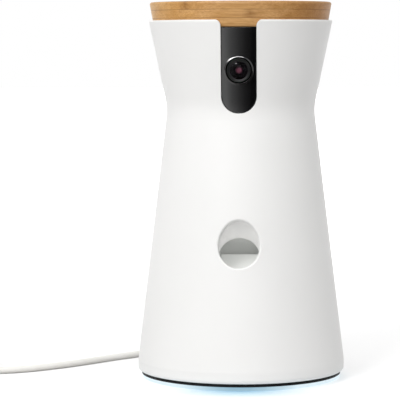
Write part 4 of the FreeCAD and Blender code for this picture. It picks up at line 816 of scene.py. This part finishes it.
def pupil_material():
    """Painted purple-red reflection of the inner element's coating, darker towards its rim."""
    shade = Shader("lens_painted_reflection")
    x, z = shade.axis(shade.where, "X"), shade.axis(shade.where, "Z")
    up = shade.math("SUBTRACT", z, LENS_LEVEL)
    squares = (shade.math("MULTIPLY", side, side) for side in (x, up))
    reach = shade.math("SQRT", shade.math("ADD", *squares))
    shade.colour(shade.ramp(shade.levels(reach, 0.0, 1.0, 0.0, PUPIL_RADIUS), *PUPIL_PAINTED_REFLECTION))
    shade.rough(shade.levels(shade.noise(300, 2), 0.2, 0.3))
    return shade.set(IOR=1.2).material


def lens_pieces():
    """The lens pieces: name, slot, replaced node, material, segments, steps and profile in mm."""
    # Polished black of the ring round the lens, whose chamfer has points along its slope.
    ring = surface("ring_gloss", (0.003, 0.003, 0.003), (0.005, 0.005, 0.005), (300, 2),
                   (0.1, 0.16), None, (500, 2), 0.000003, IOR=1.6)
    yield "lens_ring", "black_gloss", "lens_bezel", ring, 128, 8, [
        (8.5, -5.0), (8.5, -0.55, 0.2), (8.42, -0.43, 0.05), (8.28, -0.374), (7.75, -0.162),
        (7.65, -0.122, 0.06), (7.55, -0.5, 0.1), (7.5, -2.6), (6.95, -2.8), (6.95, -5.0),
        (8.5, -5.0),
    ]
    # Satin dark grey of the housing's sloped face.
    face = surface("lens_face", (0.012, 0.0125, 0.0125), (0.018, 0.019, 0.019), (500, 2),
                   (0.24, 0.38), None, (900, 2), 0.00001, IOR=1.11)
    yield "lens_housing", "black_plastic", "lens_barrel", face, 96, 5, [
        (6.8, -11.6), (6.8, -0.55, 0.3), (5.4, -1.1, 0.15), (5.3, -2.6), (5.3, -11.6),
        (6.8, -11.6),
    ]
    # Dull black of the stepped light traps.
    traps = surface("lens_baffle", (0.0015, 0.0013, 0.0016), (0.003, 0.0026, 0.0032), (500, 2),
                    (0.6, 0.75), IOR=1.1)
    yield "lens_baffles", "black_plastic", "lens_barrel", traps, 96, 5, [
        (5.25, -2.5), (4.5, -2.6), (4.4, -3.4), (3.6, -3.5), (3.5, -4.2), (2.7, -4.3), (2.6, -5.6),
        (0, -5.6),
    ]
    yield "lens_dome", "lens_glass", "lens_glass", None, 96, 4, [
        (0, -0.85), (1.2, -0.88), (2.4, -1.0), (3.5, -1.2), (4.5, -1.5), (5.3, -1.9),
        (5.3, -2.4, 0.1), (0, -2.4),
    ]
    yield "lens_pupil", "lens_glass", "lens_glass", pupil_material(), 64, 4, [
        (0, -4.4), (0.8, -4.45), (1.6, -4.7), (2.3, -5.1), (2.55, -5.5), (0, -5.5),
    ]


def make_lens():
    """Gloss ring, sloped housing face, black baffles, domed glass and coated inner element."""
    low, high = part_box("lens_bezel")
    front = Vector((0, low.y, LENS_LEVEL))
    for name, slot, node, material, segments, steps, corners in lens_pieces():
        data = lathe(name, corners, front, (0, -1, 0), segments, steps)
        add_piece(name, data, slot, "turret", node, material)


make_lens()

# ---------------------------------------------------------------- floor, light and world

# The floor: its colour where light bounces off it, its own glow in the eyes of the camera and of
# gloss (level near the object and far away, and the distances between which it rises), the painted
# glow that the floor gives off beside the base in place of the light ring's light (and the share
# of that which is seen), and the painted pool of blue light and shadow in front.
FLOOR_HALF = 8.0
FLOOR_BOUNCE = (0.5, 0.5, 0.5)
WHITE_GLOW = (1, 1, 1)
GLOW_LEVELS = (0.11, 0.75)
GLOW_REACH = (0.25, 1.3)
PAINTED_FLOOR_GLOW = (0.72, 0.84, 0.92)
RING_LEVEL = 0.75
RING_REACH = (0.059, 0.073)
RING_SEEN = 0.12
PAINTED_POOL_COLOUR = (0.38, 0.62, 0.76)
POOL_CENTRE = (0.0, -0.058)
POOL_SPREAD = (0.031, 0.0165)


def painted_light_and_shadow_pool(shade):
    """1 where the painted pool of pale blue light and shadow lies on the floor in front, fading to
    0 around.
    """
    squares = []
    for name, centre, spread in zip("XY", POOL_CENTRE, POOL_SPREAD):
        along = shade.steps(shade.axis(shade.where, name), centre, spread)
        squares.append(shade.math("POWER", shade.math("ABSOLUTE", along), 2.0))
    reach = shade.math("ADD", *squares)
    return shade.math("EXPONENT", shade.math("MULTIPLY", reach, -1.0))


def make_floor():
    """Plain pale floor that takes the object's shadow, with painted light and shade at the base,
    and stays white away from the lamps.
    """
    work = bmesh.new()
    bmesh.ops.create_grid(work, x_segments=1, y_segments=1, size=FLOOR_HALF)
    floor = bpy.data.objects.new("floor", finish_mesh("floor", work))
    bpy.context.scene.collection.objects.link(floor)
    shade = Shader("floor_white")
    cloud = shade.noise(3, 2)
    seen = shade.bright_rays()
    pale = shade.ramp(cloud, (0.3, (0.90, 0.90, 0.90)), (0.7, (0.92, 0.92, 0.92)))
    # Painted shadow and blue light: the floor's colour turns darker blue in front of the base.
    lit = shade.mix(painted_light_and_shadow_pool(shade), pale, PAINTED_POOL_COLOUR)
    shade.colour(shade.mix(seen, FLOOR_BOUNCE, lit))
    shade.rough(shade.levels(cloud, 0.9, 1.0))
    shade.set(Specular_IOR_Level=0.0)
    across = shade.node("ShaderNodeVectorMath", operation="LENGTH")
    shade.link(shade.where, across.inputs[0])
    distance = across.outputs["Value"]
    far = shade.levels(distance, *GLOW_LEVELS, *GLOW_REACH)
    # Painted glow: the floor itself gives off pale blue light beside the base in place of the
    # light ring's light.
    beside = shade.levels(distance, RING_LEVEL, 0.0, *RING_REACH)
    result = shade.bsdf.outputs["BSDF"]
    for colour, strength in (
        (WHITE_GLOW, shade.math("MULTIPLY", seen, far)),
        (PAINTED_FLOOR_GLOW, shade.math("MULTIPLY", beside, shade.levels(seen, 1.0, RING_SEEN))),
    ):
        glow = shade.node("ShaderNodeEmission")
        glow.inputs["Color"].default_value = (*colour, 1)
        shade.link(strength, glow.inputs["Strength"])
        both = shade.node("ShaderNodeAddShader")
        shade.link(result, both.inputs[0])
        shade.link(glow.outputs["Emission"], both.inputs[1])
        result = both.outputs["Shader"]
    shade.link(result, shade.output.inputs["Surface"])
    floor.data.materials.append(shade.material)


# The card's corners and level, the point that its shade fans out from (so far in front of the
# object's axis), the slopes of its two ends, and how dense it is between them.
FLAG_LEFT, FLAG_RIGHT = -1.6, 3.0
FLAG_FRONT, FLAG_BACK = -3.2, -0.066
FLAG_LEVEL = 0.012
FLAG_APEX = 0.045
FLAG_SLOPES = (-0.43, 0.38)
FLAG_RAMP = ((0.0, 0.0), (0.25, 0.48), (0.5, 0.75), (0.72, 0.91), (1.0, 1.0))


def make_flag():
    """Dark card low in front that gloss alone shows: it shades the window towards the right."""
    work = bmesh.new()
    outline = ((FLAG_LEFT, FLAG_FRONT), (FLAG_RIGHT, FLAG_FRONT), (FLAG_RIGHT, FLAG_BACK),
               (FLAG_LEFT, FLAG_BACK))
    work.faces.new([work.verts.new((x, y, FLAG_LEVEL)) for x, y in outline])
    flag = bpy.data.objects.new("flag", finish_mesh("flag", work))
    bpy.context.scene.collection.objects.link(flag)
    for kind in ("camera", "diffuse", "transmission", "shadow", "volume_scatter"):
        setattr(flag, "visible_" + kind, False)
    shade = Shader("flag_black")
    shade.colour(shade.ramp(shade.noise(20, 2), (0.3, (0.004,) * 3), (0.7, (0.006,) * 3)))
    shade.set(Roughness=1.0, Specular_IOR_Level=0.0)
    ahead = shade.math("MULTIPLY", shade.axis(shade.where, "Y"), -1.0)
    ahead = shade.math("SUBTRACT", ahead, FLAG_APEX)
    aside = shade.math("DIVIDE", shade.axis(shade.where, "X"), ahead)
    across = shade.levels(aside, 0.0, 1.0, *FLAG_SLOPES)
    density = shade.ramp(across, *((place, (level,) * 3) for place, level in FLAG_RAMP))
    shade.link(density, shade.bsdf.inputs["Alpha"])
    flag.data.materials.append(shade.material)


# Name, place, the point it looks at, width and height, power, and whether more than gloss
# shows it.
LAMPS = (
    ("key", (-0.8, -1.55, 1.2), (0, 0, 0.11), (0.7, 0.7), 14.0, True),
    ("strip", (-0.4, -1.5, 1.5), (0, -0.05, 0.183), (1.7, 0.7), 110.0, False),
)
FILLS = (
    ("hole_fill", (0, -0.045, 0.0795), 0.0009),
    ("chamber_fill", (0, -0.020, 0.092), 0.0019),
)
FILL_RADIUS = 0.0025


def add_lamp(name, kind, place, power):
    """A lamp that the camera doesn't see."""
    data = bpy.data.lights.new(name, kind)
    data.energy = power
    lamp = bpy.data.objects.new(name, data)
    lamp.location = place
    lamp.visible_camera = False
    bpy.context.scene.collection.objects.link(lamp)
    return lamp


def make_lamps():
    """Soft key from the left front, a strip that only gloss shows, two fills in the treat hole."""
    for name, place, aim, size, power, seen in LAMPS:
        lamp = add_lamp(name, "AREA", place, power)
        lamp.data.shape = "RECTANGLE"
        lamp.data.size, lamp.data.size_y = size
        towards = Vector(aim) - Vector(place)
        lamp.rotation_euler = towards.to_track_quat("-Z", "Y").to_euler()
        lamp.visible_diffuse = seen
    for name, place, power in FILLS:
        lamp = add_lamp(name, "POINT", place, power)
        lamp.data.shadow_soft_size = FILL_RADIUS
        lamp.visible_glossy = False


# Strength of the surround, how much of it the right and the left end take away, and how far
# from the middle that begins.
SURROUND = 1.18
RIGHT_SHADE = 0.61
LEFT_SHADE = 0.415
SHADE_START = 0.2


def make_world():
    """Surround that lights less from the two sides, and is plain white where it is looked at."""
    world = bpy.data.worlds.new("surround")
    bpy.context.scene.world = world
    world.use_nodes = True
    shade = Nodes(world.node_tree)
    ground = world.node_tree.nodes["Background"]
    across = shade.axis(shade.coordinates["Generated"], "X")
    level = 1.0
    for side, loss in ((1.0, RIGHT_SHADE), (-1.0, LEFT_SHADE)):
        falling = shade.levels(across, 0.0, loss, SHADE_START * side, side)
        level = shade.math("SUBTRACT", level, falling)
    strength = shade.node("ShaderNodeMix", data_type="FLOAT")
    shade.link(shade.bright_rays(), strength.inputs[0])
    shade.link(shade.math("MULTIPLY", level, SURROUND), strength.inputs[2])
    strength.inputs[3].default_value = 1.0
    ground.inputs["Color"].default_value = (1, 1, 1, 1)
    shade.link(strength.outputs[0], ground.inputs["Strength"])


make_floor()
make_flag()
make_lamps()
make_world()
bpy.context.scene.view_settings.view_transform = "Standard"
